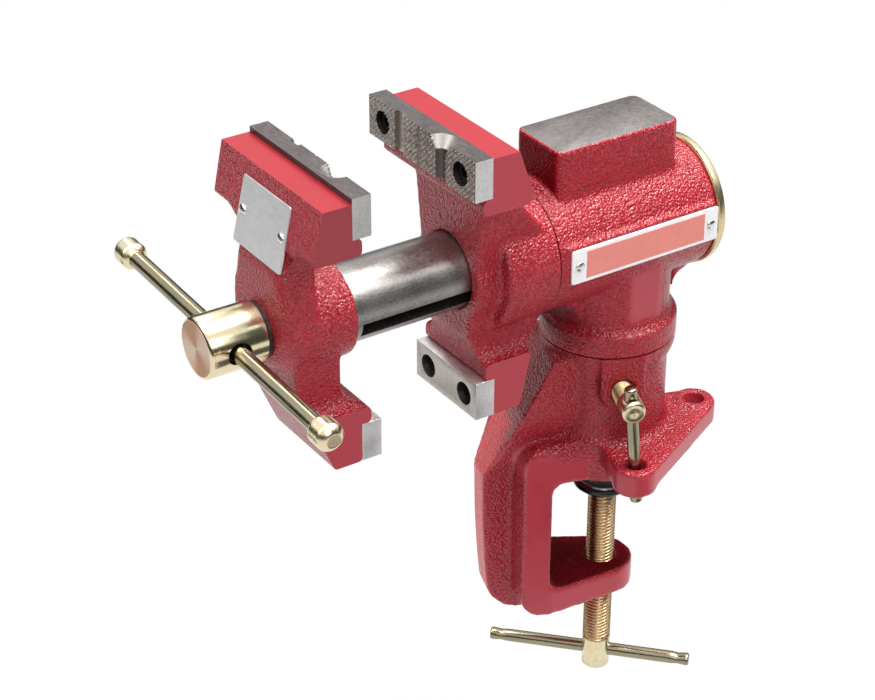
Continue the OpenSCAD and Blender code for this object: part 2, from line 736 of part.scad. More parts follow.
module clamp_screw() color(plated) at_clamp() difference() {
    tail = clamp_bar_z - clamp_tail;
    union() {
        translate([0, 0, tail + chamfer]) cylinder(r = clamp_r, h = pad_low - tail - chamfer);
        translate([0, 0, tail]) cylinder(r1 = clamp_r - chamfer, r2 = clamp_r, h = chamfer);
        translate([0, 0, pad_low - cut]) cylinder(r = tip_r, h = cut + pad_h - pad_dish - pad_web - face_gap);
    }
    translate([0, 0, clamp_bar_z]) rotate([0, 0, clamp_bar_turn])
        rod_x(clamp_bar_r + run_gap, -clamp_r - cut, clamp_r + cut);
}

module clamp_pad() color(dark_steel) at_clamp() difference() {
    rotate_extrude() polygon([[0, pad_face - pad_dish], [pad_floor_r, pad_face - pad_dish],
        [pad_r - pad_rim, pad_face], [pad_r, pad_face], [pad_r, pad_face - pad_h / 2],
        [pad_r - 2 * pad_rim, pad_low + face_gap], [0, pad_low + face_gap]]);
    translate([0, 0, pad_low - cut]) cylinder(r = tip_r + run_gap, h = cut + pad_h - pad_dish - pad_web);
}

module clamp_bar() color(plated) at_clamp() translate([0, 0, clamp_bar_z]) rotate([0, 0, clamp_bar_turn])
    translate([-clamp_bar_slid, 0, 0]) pinched_bar(clamp_bar_r, clamp_bar_len);

module swivel_lock_screw() color(plated) at_lock() rotate([lock_tilt, 0, 0])
    lock_screw(spigot_r - lock_groove + face_gap, lock_end, lug_x);

module swivel_lock_bar() color(plated) at_lock() rotate([lock_tilt, 0, 0])
    translate([lug_x, 0, -lock_bar_slid]) rotate([0, 90, 0]) pinched_bar(lock_bar_r, lock_bar_len);

// Head

// Anvil with rounded corners.
module anvil_block() translate([0, anvil_front + anvil_len / 2, 0]) linear_extrude(anvil_top) {
    square([anvil_w - 2 * anvil_round, anvil_len], center = true);
    square([anvil_w, anvil_len - 2 * anvil_round], center = true);
    for (x = [-1, 1], y = [-1, 1])
        translate([x * (anvil_w / 2 - anvil_round), y * (anvil_len / 2 - anvil_round)]) circle(anvil_round);
}

// Barrel with chamfered ends.
module barrel() {
    front = hub_end + face_gap;
    cone_y(barrel_r - barrel_edge, barrel_r, front, front + barrel_edge);
    rod_y(barrel_r, front + barrel_edge, barrel_end - barrel_edge);
    cone_y(barrel_r, barrel_r - barrel_edge, barrel_end - barrel_edge, barrel_end);
}

// Flat pad on the barrel's right-hand side, under the side plate.
module side_pad() translate([0, side_plate_front - flat_rim, side_plate_z - side_plate_h / 2 - flat_rim])
    cube([side_flat, barrel_end - barrel_edge - side_plate_front + flat_rim, side_plate_h + 2 * flat_rim]);

// Flange and stem that carry the barrel, with a flat on the right-hand side.
module stem() difference() {
    rotate_extrude() {
        translate([0, seam_h + face_gap]) square([flange_r, flange_h - face_gap]);
        translate([0, flange_top - cut]) square([stem_r, axis_h - flange_top + cut]);
        translate([stem_r + stem_fillet, flange_top]) corner_fill_up(stem_fillet);
    }
    translate([stem_flat, -stem_r, flange_top + stem_fillet]) cube([stem_r, 2 * stem_r, axis_h]);
}

// Fillets between stem and barrel, in front and behind.
module stem_fillets() translate([0, 0, axis_h - barrel_r + cut]) along_x(barrel_fillet_w)
    for (s = [0, 1]) mirror([s, 0]) translate([stem_r - cut, 0]) {
        translate([barrel_fillet, 0]) corner_fill_down(barrel_fillet);
        square([barrel_fillet, barrel_r - sleeve_r + cut]);
    }

// Spigot with the groove for the swivel lock screw.
module spigot() difference() {
    translate([0, 0, spigot_bottom]) cylinder(r = spigot_r, h = spigot_len + cut);
    translate([0, 0, lock_h]) rotate_extrude() translate([spigot_r - lock_groove, -lock_r - free_gap])
        square([lock_groove + cut, 2 * (lock_r + free_gap)]);
}

module head_body() color(cast_red) difference() {
    union() {
        at_head() {
            barrel();
            anvil_block();
            side_pad();
        }
        at_head_lock() rod_x(lock_boss_r, head_lock_root, barrel_r + lock_boss_out);
        stem();
        stem_fillets();
        spigot();
    }
    at_head() rod_y(sleeve_r + run_gap, hub_end, barrel_end + cut);
    at_head_lock() rod_x(lock_r + run_gap, head_lock_root, barrel_r + lock_boss_out + cut);
}

module side_plate() color(sheet_metal) at_head()
    translate([side_flat, side_plate_front, side_plate_z - side_plate_h / 2])
        cube([sheet_t, side_plate_len, side_plate_h]);

module side_plate_rivets() color(sheet_metal) at_head()
    for (y = [side_plate_front + side_rivet_in, side_plate_front + side_plate_len - side_rivet_in])
        translate([side_flat + sheet_t, y, side_plate_z]) rotate([0, 90, 0]) rivet();

// Where the head lock screw's tip meets the sleeve.
function head_lock_tip() = run_gap
    + sqrt(pow(sleeve_r + face_gap, 2) - pow(max(head_lock_drop - lock_r, 0), 2));

module head_lock_screw() color(plated) at_head_lock() rotate([90, 0, 0])
    lock_screw(head_lock_tip(), head_lock_end, head_lock_x);

module head_lock_bar() color(plated) at_head_lock() translate([head_lock_x, 0, 0]) rotate([0, 0, 90])
    pinched_bar(lock_bar_r, lock_bar_len);

module rear_cap() color(plated) at_head() difference() {
    union() {
        rod_y(cap_r, cap_front, cap_front + cap_t - chamfer);
        cone_y(cap_r, cap_r - chamfer, cap_front + cap_t - chamfer, cap_front + cap_t);
        rod_y(hub_bore_r - run_gap, sleeve_end - cap_hub, cap_front + cut);
    }
    for (s = [-1, 1]) translate([s * cap_hole_x, 0, 0])
        rod_y(cap_hole_r, barrel_end, cap_front + cap_t + cut);
}

// Rear jaw

module rear_side() {
    bend = neck_set - ledge_set;
    polygon([[plate_t, rear_top], [plate_t + rear_flat, rear_top], [rear_back, block_low + rear_edge],
        [rear_back - rear_edge, block_low], [neck_back, neck_knee], [neck_back, -low_ledge_top + low_bend],
        [rear_low_back + low_lean, -low_ledge_top], [rear_low_back, -low_bottom],
        [rear_low_face, -low_bottom], [rear_low_face, -low_drop], [low_set + ledge_set, -low_drop],
        [low_set + ledge_set, -low_ledge_top], [neck_set, -low_ledge_top + low_bend], [neck_set, block_low],
        [ledge_set, block_low], [ledge_set, plate_top - plate_h], [plate_t, plate_top - plate_h]]);
    translate([ledge_set, block_low]) mirror([1, 0]) corner_fill_down(bend);
}

module rear_jaw() color(cast_red) at_head() difference() {
    union() {
        intersection() {
            along_y(0, hub_end) jaw_outline(rear_top, neck_half, rear_short);
            along_x(jaw_w) rear_side();
        }
        rod_y(hub_r, hub_end - hub_len, hub_end);
        rod_y(tube_r + bore_wall, neck_set, hub_end);
        rod_y(sleeve_r, hub_end - cut, sleeve_end);
    }
    rod_y(tube_r + run_gap, 0, barrel_end);
    rod_y(hub_bore_r, sleeve_end - cap_hub - free_gap, barrel_end + cut);
    rotate([0, -slot_turn, 0]) translate([-key_w / 2 - run_gap, nut_front, -sleeve_r - cut])
        cube([key_w + 2 * run_gap, nut_len, sleeve_r]);
    tapped_holes(plate_screw_x, plate_mid, plate_t);
    tapped_holes(low_screw_x, low_mid, rear_low_face);
}

module rear_upper_plate() color(steel) at_head() upper_plate();

module rear_lower_plate() color(steel) at_head() translate([0, low_set, 0]) lower_plate();

module rear_upper_screws() color(dark_steel) at_head()
    plate_screws(plate_screw_x, plate_mid, plate_t - bore_floor);

module rear_lower_screws() color(dark_steel) at_head() translate([0, low_set, 0])
    plate_screws(low_screw_x, low_mid, low_t - bore_floor);

module spindle_nut() color(steel) at_head() difference() {
    rod_y(nut_r, nut_front, nut_front + nut_len);
    rod_y(spindle_r + run_gap, nut_front - cut, nut_front + nut_len + cut);
}

// Key between nut and sleeve, through the tube's slot.
module nut_key() color(steel) at_head() rotate([0, -slot_turn, 0]) intersection() {
    difference() {
        translate([-key_w / 2, nut_front, -sleeve_r + free_gap])
            cube([key_w, nut_len, sleeve_r - tube_bore_r]);
        rod_y(nut_r, nut_front - cut, nut_front + nut_len + cut);
    }
    rod_y(sleeve_r, nut_front - cut, nut_front + nut_len + cut);
}

// Sliding jaw

module slide_side() {
    polygon([[plate_t, slide_top], [plate_t + jaw_back, slide_top], [slide_front, front_knee],
        [slide_front, -low_knee], [low_front, -low_bottom], [low_back, -low_bottom], [low_back, -low_drop],
        [low_ledge, -low_drop], [low_ledge, -low_ledge_top], [low_neck_rear, -low_ledge_top],
        [low_neck_rear, 0], [neck_set, 0], [neck_set, block_low], [ledge_set, block_low],
        [ledge_set, plate_top - plate_h], [plate_t, plate_top - plate_h]]);
    translate([ledge_set, block_low]) mirror([1, 0]) corner_fill_down(neck_set - ledge_set);
    translate([low_ledge, -low_ledge_top]) mirror([1, 0]) corner_fill_up(low_neck_rear - low_ledge);
}

// Frame on the sloped front: Y up the slope from the knee, Z away from the casting.
module at_front() at_slide() translate([0, slide_front, front_knee])
    rotate([-90 + front_slope, 0, 0]) mirror([0, 1, 0]) children();

// Chamfers along the front edges of the sliding jaw's upper neck.
module neck_chamfers() for (s = [-1, 1]) translate([s * slide_neck_half, 0, 0]) rotate([0, 45, 0])
    cube([neck_edge * sqrt(2), 2 * neck_edge_len, neck_edge * sqrt(2)], center = true);

module sliding_jaw() color(cast_red) difference() {
    union() {
        difference() {
            at_slide() intersection() {
                along_y(-low_set, slide_front) jaw_outline(slide_top, slide_neck_half, 0);
                along_x(jaw_w) slide_side();
            }
            at_front() neck_chamfers();
            at_slide() difference() {
                rod_y(2 * boss_r, slide_front - nose_len, slide_front + cut);
                cone_y(boss_r, nose_r, slide_front - nose_len, slide_front);
                translate([-jaw_w, 0, 0]) cube([2 * jaw_w, 2 * slide_front, jaw_w]);
            }
        }
        at_slide() rod_y(boss_r, -boss_rear, slide_front - nose_len);
        at_slide() cone_y(boss_r, nose_r, slide_front - nose_len, slide_front);
    }
    at_slide() {
        rod_y(tube_r + run_gap, -boss_rear - cut, slide_front - thrust_wall);
        rod_y(spindle_r + run_gap, 0, slide_front + cut);
        tapped_holes(plate_screw_x, plate_mid, plate_t);
        tapped_holes(low_screw_x, low_mid, low_back);
    }
}

module slide_tube() color(dark_steel) at_head() difference() {
    rod_y(tube_r, tube_front, tube_end);
    rod_y(tube_bore_r, tube_front - cut, tube_end + cut);
    rotate([0, -slot_turn, 0]) translate([-slot_w / 2, -jaw_open + boss_rear + slot_in, -tube_r - cut])
        cube([slot_w, tube_end + jaw_open, tube_r]);
}

module sliding_upper_plate() color(steel) at_slide() upper_plate();

module sliding_lower_plate() color(steel) at_slide() translate([0, -low_set, 0]) lower_plate();

module sliding_upper_screws() color(dark_steel) at_slide()
    plate_screws(plate_screw_x, plate_mid, plate_t - bore_floor);

module sliding_lower_screws() color(dark_steel) at_slide() translate([0, -low_set, 0])
    plate_screws(low_screw_x, low_mid, low_t - bore_floor);

// Frame of the data plate: origin at its middle, on the sloped front.
module at_data() at_front() translate([0, front_len - data_h / 2 - data_down, 0]) children();

module data_plate() color(sheet_metal) at_data()
    translate([-data_w / 2, -data_h / 2, 0]) cube([data_w, data_h, sheet_t]);

module data_plate_rivets() color(sheet_metal) at_data()
    for (s = [-1, 1]) translate([s * data_rivet_x, 0, sheet_t]) rivet();

// Spindle and handle

module spindle() color(plated) difference() {
    at_head() {
        cone_y(head_r - chamfer, head_r, head_front, head_front + chamfer);
        rod_y(head_r, head_front + chamfer, head_rear);
        rod_y(spindle_r, head_rear - cut, spindle_end);
    }
    at_handle() rod_x(handle_r + run_gap, -head_r - cut, head_r + cut);
    at_head() translate([0, collar_mid, -spindle_r - cut])
        cylinder(r = collar_pin_r + run_gap / 2, h = 2 * (spindle_r + cut));
}

module thrust_washer() color(steel) at_head() difference() {
    rod_y(head_r - chamfer, head_rear + face_gap / 2, boss_front - face_gap / 2);
    rod_y(spindle_r + free_gap, head_rear - cut, boss_front + cut);
}

module spindle_collar() color(steel) at_head() difference() {
    rod_y(nut_r, collar_front, collar_front + collar_t);
    rod_y(spindle_r + run_gap, collar_front - cut, collar_front + collar_t + cut);
    translate([0, collar_mid, -tube_bore_r]) cylinder(r = collar_pin_r + run_gap / 2, h = 2 * tube_bore_r);
}

module collar_pin() color(dark_steel) at_head() translate([0, collar_mid, -nut_r + free_gap])
    cylinder(r = collar_pin_r, h = 2 * (nut_r - free_gap));

module handle_bar() color(plated) at_handle() translate([-handle_slid, 0, 0])
    rod_x(handle_r, -handle_span / 2 - knob_grip, handle_span / 2 + knob_grip);

module handle_knobs() color(plated) at_handle() translate([-handle_slid, 0, 0])
    for (s = [0, 180]) rotate([0, 0, s]) translate([handle_span / 2, 0, 0]) rotate([0, 90, 0]) difference() {
        rotate_extrude() intersection() {
            translate([0, -knob_len / 2]) square([knob_r, knob_len]);
            circle(knob_ball);
        }
        translate([0, 0, -knob_len]) cylinder(r = handle_r + run_gap, h = knob_len + knob_grip + run_gap);
    }

base_casting();
clamp_screw();
clamp_pad();
clamp_bar();
swivel_lock_screw();
swivel_lock_bar();
head_body();
side_plate();
side_plate_rivets();
head_lock_screw();
head_lock_bar();
rear_cap();
rear_jaw();
rear_upper_plate();
rear_upper_screws();
rear_lower_plate();
rear_lower_screws();
spindle_nut();
nut_key();
sliding_jaw();
slide_tube();
sliding_upper_plate();
sliding_upper_screws();
sliding_lower_plate();
sliding_lower_screws();
data_plate();
data_plate_rivets();
spindle();
thrust_washer();
spindle_collar();
collar_pin();
handle_bar();
handle_knobs();
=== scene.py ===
import json
import math

import bmesh
import bpy
import numpy as np
from mathutils import Matrix, Vector


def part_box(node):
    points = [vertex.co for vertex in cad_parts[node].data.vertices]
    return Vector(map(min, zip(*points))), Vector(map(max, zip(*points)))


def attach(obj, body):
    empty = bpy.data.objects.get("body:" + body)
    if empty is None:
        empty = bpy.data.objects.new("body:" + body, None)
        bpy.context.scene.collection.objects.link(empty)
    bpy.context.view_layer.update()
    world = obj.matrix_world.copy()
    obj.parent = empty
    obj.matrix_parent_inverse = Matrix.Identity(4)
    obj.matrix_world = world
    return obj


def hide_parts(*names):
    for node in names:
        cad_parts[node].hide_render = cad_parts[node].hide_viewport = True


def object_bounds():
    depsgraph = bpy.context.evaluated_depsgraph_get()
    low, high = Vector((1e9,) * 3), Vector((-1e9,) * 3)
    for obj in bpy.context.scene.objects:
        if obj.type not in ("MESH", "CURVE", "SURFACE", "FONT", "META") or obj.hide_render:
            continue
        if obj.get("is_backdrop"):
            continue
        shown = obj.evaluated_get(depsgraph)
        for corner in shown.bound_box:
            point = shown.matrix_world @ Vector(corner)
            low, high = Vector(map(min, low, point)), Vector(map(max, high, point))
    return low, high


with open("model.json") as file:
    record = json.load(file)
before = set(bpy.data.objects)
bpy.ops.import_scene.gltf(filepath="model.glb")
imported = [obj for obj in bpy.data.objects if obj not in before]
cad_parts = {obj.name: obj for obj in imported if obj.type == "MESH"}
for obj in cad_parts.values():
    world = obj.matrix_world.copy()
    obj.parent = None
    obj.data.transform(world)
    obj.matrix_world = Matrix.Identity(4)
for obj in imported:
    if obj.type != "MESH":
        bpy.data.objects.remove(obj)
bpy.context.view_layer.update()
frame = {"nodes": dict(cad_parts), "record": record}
NODES = frame["nodes"]
BODY = {n: b for b, names in frame["record"]["behaviour"]["bodies"].items() for n in names}
scene = bpy.context.scene
MM = 0.001

# Places and sizes shared with the solids, in millimetres. Jaw heights count from the barrel's axis.
AXIS = 97.2
FACE = -80.5  # the rear jaw's face
OPEN = 38.2  # between the jaws at rest
SLIDE = FACE - OPEN  # the sliding jaw's face
SEAM = 53.9  # between base and head
HUB_END = 41.5
JAW_HALF = 31.75
REAR_LEFT = -28.25  # the rear casting's left end, short of its plate
LOW_HALF = 18.7
REAR_TOP = 55.2
SLIDE_TOP = 53.7
SLIDE_FRONT = 24.3
FRONT_KNEE = 23.6
PLATE_LOW = 41.3
PLATE_H = 14.4
PLATE_T = 7.2
LOW_SEAT = 36.1
TUBE_BORE = 13.72  # in the castings, a little wider than in the solids
HANDLE_HOLE = 10.4  # from the spindle's end
CLAMP_Y = 1.0
PAD_FACE = -11.4
CLAMP_BAR_DROP = 81.5  # below the pad's face
LOCK_H = 39.8
LOCK_HOLE = 35.7  # along the lock screws, where their bars pass
HEAD_LOCK_HOLE = 35.2
SIDE_W, SIDE_H = 63.3, 12.7
DATA_W, DATA_H = 29.8, 22.8
SHEET_T = 0.7
BASE_TURN = math.radians(-18)
LOCK_TURN = math.radians(-22)
LOCK_TILT = math.radians(5)
HANDLE_TURN = math.radians(1.9)
CLAMP_BAR_TURN = -BASE_TURN + math.radians(44)
SLOT_TURN = math.radians(-70)

VOXEL = 0.7  # of the castings' skin
CAST_ROOM = 2.4  # added to a machined plane before its edges are relaxed, and cut off again
CLAMP_DROP = 0.033  # metres from the clamp screw at rest to the floor, more than it can travel


# Camera
def camera():
    """The view of the photograph."""
    target = Vector((0.010458, -0.0805, 0.074319))
    az, el, distance = math.radians(56.6057), math.radians(30.4516), 0.78674
    sensor, focal_px, width_px = 36, 2323.1911, 875
    data = bpy.data.cameras.new("camera")
    cam = bpy.data.objects.new("camera", data)
    scene.collection.objects.link(cam)
    back = Vector((math.sin(az) * math.cos(el), -math.cos(az) * math.cos(el), math.sin(el)))
    cam.location = target + back * distance
    cam.rotation_mode = "QUATERNION"
    cam.rotation_quaternion = (-back).to_track_quat("-Z", "Y")
    data.sensor_width = sensor
    data.lens = sensor * focal_px / width_px
    data.clip_start, data.clip_end = 0.01, 100
    scene.camera = cam


# Materials
class Mat:
    """A node material with short helpers. Textures use object coordinates, which are metres here."""

    def __init__(self, name, **sockets):
        self.m = bpy.data.materials.new(name)
        self.m.use_nodes = True
        self.nt = self.m.node_tree
        self.b = self.nt.nodes["Principled BSDF"]
        self.co = self.nt.nodes.new("ShaderNodeTexCoord").outputs["Object"]
        for k, v in sockets.items():
            self.b.inputs[k.replace("_", " ")].default_value = v

    def put(self, source, node, socket):
        if hasattr(source, "links"):
            self.nt.links.new(source, node.inputs[socket])
        else:
            node.inputs[socket].default_value = source

    def scaled(self, scale):
        n = self.nt.nodes.new("ShaderNodeMapping")
        self.put(self.co, n, "Vector")
        n.inputs["Scale"].default_value = scale
        return n.outputs["Vector"]

    def noise(self, scale, detail=2.0, rough=0.5, vector=None):
        n = self.nt.nodes.new("ShaderNodeTexNoise")
        self.put(vector or self.co, n, "Vector")
        n.inputs["Scale"].default_value = scale
        n.inputs["Detail"].default_value = detail
        n.inputs["Roughness"].default_value = rough
        return n.outputs["Fac"]

    def cells(self, scale):
        n = self.nt.nodes.new("ShaderNodeTexVoronoi")
        n.feature = "SMOOTH_F1"
        self.put(self.co, n, "Vector")
        n.inputs["Scale"].default_value = scale
        n.inputs["Smoothness"].default_value = 0.7
        return n.outputs["Distance"]

    def ramp(self, fac, *stops):
        n = self.nt.nodes.new("ShaderNodeValToRGB")
        self.put(fac, n, "Fac")
        while len(n.color_ramp.elements) < len(stops):
            n.color_ramp.elements.new(0.5)
        for e, (pos, c) in zip(n.color_ramp.elements, stops):
            e.position = pos
            e.color = (*c, 1) if hasattr(c, "__len__") else (c, c, c, 1)
        return n.outputs["Color"]

    def math(self, op, a, b):
        n = self.nt.nodes.new("ShaderNodeMath")
        n.operation = op
        self.put(a, n, 0)
        self.put(b, n, 1)
        return n.outputs[0]

    def mix(self, fac, a, b):
        n = self.nt.nodes.new("ShaderNodeMix")
        n.data_type = "RGBA"
        self.put(fac, n, 0)
        for socket, value in ((6, a), (7, b)):
            self.put((*value, 1) if isinstance(value, tuple) else value, n, socket)
        return n.outputs[2]

    def range(self, value, lo, hi, a=0.0, b=1.0):
        n = self.nt.nodes.new("ShaderNodeMapRange")
        self.put(value, n, "Value")
        for k, v in zip(("From Min", "From Max", "To Min", "To Max"), (lo, hi, a, b)):
            n.inputs[k].default_value = v
        return n.outputs["Result"]

    def mask(self, name):
        n = self.nt.nodes.new("ShaderNodeAttribute")
        n.attribute_name = name
        return n.outputs["Fac"]

    def bump(self, height, distance):
        n = self.nt.nodes.new("ShaderNodeBump")
        n.inputs["Strength"].default_value = 1.0
        n.inputs["Distance"].default_value = distance
        self.put(height, n, "Height")
        self.nt.links.new(n.outputs["Normal"], self.b.inputs["Normal"])

    def out(self, **links):
        for k, v in links.items():
            self.nt.links.new(v, self.b.inputs[k.replace("_", " ")])
        return self.m


def paint(name, crest, deep, pebble, rough):
    """Thick glossy paint, with the pebbled skin of the casting below it where pebble is above 0.

    The mesh may carry three soft masks: flat takes the pebbles away, pale paints in a sheen and dark paints in
    shade, and both of these turn the gloss down.
    """
    m = Mat(name, Metallic=0.0)
    patch = m.noise(45.0, 3.0, 0.6)
    height = m.math("SUBTRACT", m.math("MULTIPLY", m.noise(700.0, 2.0, 0.5), 0.6), m.cells(PEBBLE_SCALE))
    tone = m.mix(m.range(height, -0.35, 0.15), deep, crest)
    if pebble:
        flat = m.mask("flat")
        tone = m.mix(flat, tone, SMOOTH_TONE)
        # pale: painted sheen, a lighter tone in place of reflected light
        pale = m.mask("pale")
        tone = m.mix(pale, tone, PAINTED_SHEEN_TONE)
        # dark: painted shade, a near-black red where light is blocked
        dark = m.mask("dark")
        tone = m.mix(dark, tone, PAINTED_SHADE_TONE)
        # Less gloss where shade or sheen is painted
        gloss = m.math("MULTIPLY", m.range(dark, 0.0, 1.0, 0.5, 0.02), m.range(pale, 0.0, 1.0, 1.0, 0.35))
        m.out(Specular_IOR_Level=gloss)
        fine = m.math("MULTIPLY", m.noise(1800.0, 2.0, 0.6), 0.06)
        rest = m.math("SUBTRACT", 1.0, flat)
        m.bump(m.math("ADD", m.math("MULTIPLY", height, rest), fine), pebble)
    else:
        m.bump(m.noise(1500.0, 3.0, 0.6), 0.00004)
    shade = m.nt.nodes.new("ShaderNodeHueSaturation")
    m.put(tone, shade, "Color")
    m.put(m.range(patch, 0.3, 0.7, 0.93, 1.05), shade, "Value")
    return m.out(Base_Color=shade.outputs["Color"],
                 Roughness=m.range(patch, 0.3, 0.7, rough - 0.04, rough + 0.05))


def steel(name, dark, light, rough, grain=(900.0, 900.0, 900.0), depth=0.00003, metal=1.0):
    """Bare steel whose grain is stretched along the directions that grain scales least."""
    m = Mat(name, Metallic=metal)
    streak = m.noise(1.0, 3.0, 0.65, m.scaled(grain))
    cloud = m.noise(70.0, 3.0, 0.6)
    both = m.math("ADD", m.math("MULTIPLY", streak, 0.65), m.math("MULTIPLY", cloud, 0.35))
    m.bump(streak, depth)
    return m.out(Base_Color=m.ramp(both, (0.3, dark), (0.72, light)),
                 Roughness=m.range(both, 0.3, 0.7, rough - 0.07, rough + 0.08))


def zinc(name, tones, rough, grain, depth=0.00002):
    """Yellow-passivated zinc: pale gold drifting to pink and green, with turning marks."""
    m = Mat(name, Metallic=1.0)
    drift = m.noise(55.0, 3.0, 0.55)
    streak = m.noise(1.0, 4.0, 0.6, m.scaled(grain))
    tone = m.ramp(drift, (0.3, tones[0]), (0.5, tones[1]), (0.7, tones[2]))
    tone = m.mix(m.range(streak, 0.35, 0.75, 0.0, 0.4), tone, tones[3])
    m.bump(streak, depth)
    return m.out(Base_Color=tone, Roughness=m.range(streak, 0.3, 0.7, rough - 0.06, rough + 0.08))


def turned_face_painted_highlight(name, tones, rough):
    """A faced end with a painted highlight: a lighter wedge in the colour, as from the gloss of circular tool
    marks, fans out from the object's own Y axis.
    """
    m = Mat(name, Metallic=1.0)
    sep = m.nt.nodes.new("ShaderNodeSeparateXYZ")
    m.put(m.co, sep, "Vector")
    angle = m.math("ARCTAN2", sep.outputs["Z"], sep.outputs["X"])
    # Painted highlight: a lighter fan twice round the face
    painted_highlight_fan = m.math("SINE", m.math("ADD", m.math("MULTIPLY", angle, 2.0), 0.6), 0.0)
    drift = m.math("MULTIPLY", m.noise(160.0, 3.0, 0.6), 0.5)
    tone = m.ramp(m.math("ADD", m.math("MULTIPLY", painted_highlight_fan, 0.36), m.math("ADD", drift, 0.25)), *tones)
    return m.out(Base_Color=tone, Roughness=m.range(drift, 0.15, 0.35, rough - 0.05, rough + 0.05))


# Tones of the zinc: three that it drifts through, and its streaks
GOLD = ((0.80, 0.62, 0.36), (0.78, 0.66, 0.40), (0.68, 0.62, 0.38), (0.52, 0.38, 0.19))
PALE = ((0.86, 0.70, 0.46), (0.84, 0.74, 0.49), (0.74, 0.72, 0.48), (0.56, 0.43, 0.25))
OLIVE = ((0.40, 0.335, 0.215), (0.37, 0.335, 0.23), (0.305, 0.295, 0.20), (0.16, 0.13, 0.07))
COPPER = ((0.58, 0.37, 0.20), (0.64, 0.46, 0.26), (0.54, 0.42, 0.24), (0.20, 0.12, 0.06))

PEBBLE_SCALE = 1150.0
SMOOTH_TONE = (0.43, 0.034, 0.053)
# Tone of the painted sheen
PAINTED_SHEEN_TONE = (0.70, 0.083, 0.090)
# Tone of the painted shade
PAINTED_SHADE_TONE = (0.12, 0.003, 0.006)
CAST = paint("paint_cast", (0.43, 0.018, 0.033), (0.30, 0.010, 0.020), 0.00056, 0.20)
FLAT = paint("paint_flat", (0.42, 0.034, 0.053), (0.40, 0.030, 0.048), 0.0, 0.38)
# Darker copy of the flat paint: painted shade on the sliding jaw's upper ends
FLAT_PAINTED_SHADE = paint("paint_flat_painted_shade", (0.300, 0.024, 0.037), (0.285, 0.021, 0.034), 0.0, 0.38)
TOP = paint("paint_top", (0.295, 0.009, 0.017), (0.280, 0.008, 0.015), 0.0, 0.36)
ANVIL = steel("anvil_ground", (0.155, 0.14, 0.135), (0.27, 0.25, 0.24), 0.46, (1500.0, 420.0, 900.0), 0.00004)
KNURL = steel("knurl_steel", (0.18, 0.155, 0.14), (0.38, 0.335, 0.305), 0.40, depth=0.00004)
PLATE_TOP = steel("plate_top", (0.085, 0.075, 0.075), (0.17, 0.15, 0.148), 0.50, (300.0, 1400.0, 900.0))
PLATE_END = steel("plate_end", (0.60, 0.58, 0.58), (0.98, 0.95, 0.94), 0.42, (800.0, 1300.0, 1300.0), 0.00005)
# Darker copy of the plate end steel: painted shade on the sliding plate's ends
END_PAINTED_SHADE = steel("plate_end_painted_shade", (0.46, 0.445, 0.445), (0.75, 0.73, 0.72), 0.42,
                  (800.0, 1300.0, 1300.0), 0.00005)
LOW_FACE = steel("low_plate", (0.36, 0.33, 0.305), (0.64, 0.59, 0.55), 0.40, (500.0, 900.0, 1500.0), 0.00003)
# Near-black steel: painted shade inside holes and in the handle hole's mouth
HOLE_PAINTED_SHADE = steel("hole_painted_shade", (0.03, 0.026, 0.024), (0.09, 0.08, 0.075), 0.5)
CONE = steel("cone_bright", (0.28, 0.263, 0.252), (0.39, 0.37, 0.355), 0.46)
TUBE = steel("slide_tube", (0.24, 0.225, 0.215), (0.50, 0.475, 0.455), 0.36, (1500.0, 900.0, 1500.0), 0.00006)
# Near-black steel: painted shade in the tube's slot and bore and the cap's holes, and a painted shadow on the
# thrust washer
PAINTED_SHADE_STEEL = steel("painted_shade_steel", (0.04, 0.035, 0.033), (0.16, 0.145, 0.14), 0.45)
INNER = steel("turned_steel", (0.30, 0.30, 0.31), (0.55, 0.55, 0.56), 0.35, (900.0, 2400.0, 900.0))
SOCKET = steel("socket_black", (0.02, 0.019, 0.019), (0.07, 0.065, 0.062), 0.45)
HEAD = zinc("zinc_polished", PALE, 0.16, (200.0, 3800.0, 200.0))
ROD = zinc("zinc_bar", OLIVE, 0.20, (1300.0, 1300.0, 70.0), 0.00004)
LOCK = zinc("zinc_lock", PALE, 0.24, (700.0, 700.0, 700.0), 0.00001)
CAP = zinc("zinc_cap", GOLD, 0.30, (900.0, 900.0, 900.0), 0.00003)
THREAD = zinc("zinc_thread", COPPER, 0.30, (700.0, 700.0, 2600.0), 0.00003)
PAD = steel("pad_black", (0.004, 0.004, 0.0045), (0.014, 0.014, 0.015), 0.30, depth=0.00002, metal=0.0)
PAD_RIM = steel("pad_rim", (0.42, 0.42, 0.43), (0.80, 0.80, 0.82), 0.22)
RIVET = steel("rivet_bright", (0.62, 0.61, 0.60), (0.90, 0.89, 0.88), 0.24)
SHEET = steel("sheet_brushed", (0.60, 0.60, 0.605), (0.80, 0.80, 0.805), 0.34,
              (260.0, 2400.0, 2400.0), 0.00002, 0.6)
BORDER = paint("enamel_white", (0.86, 0.85, 0.86), (0.82, 0.81, 0.82), 0.0, 0.30)
CORAL = paint("enamel_coral", (0.76, 0.235, 0.195), (0.72, 0.21, 0.175), 0.0, 0.30)
# Zinc of the spindle's end face, with a painted highlight
HEAD_FACE = turned_face_painted_highlight("zinc_face_painted_highlight", (
    (0.2, (0.68, 0.39, 0.24)), (0.5, (0.90, 0.57, 0.39)), (0.85, (1.0, 0.80, 0.63))), 0.34)


# Mesh helpers
def link(name, mesh, mats):
    obj = bpy.data.objects.new(name, mesh)
    scene.collection.objects.link(obj)
    for m in mats:
        obj.data.materials.append(m)
    return obj


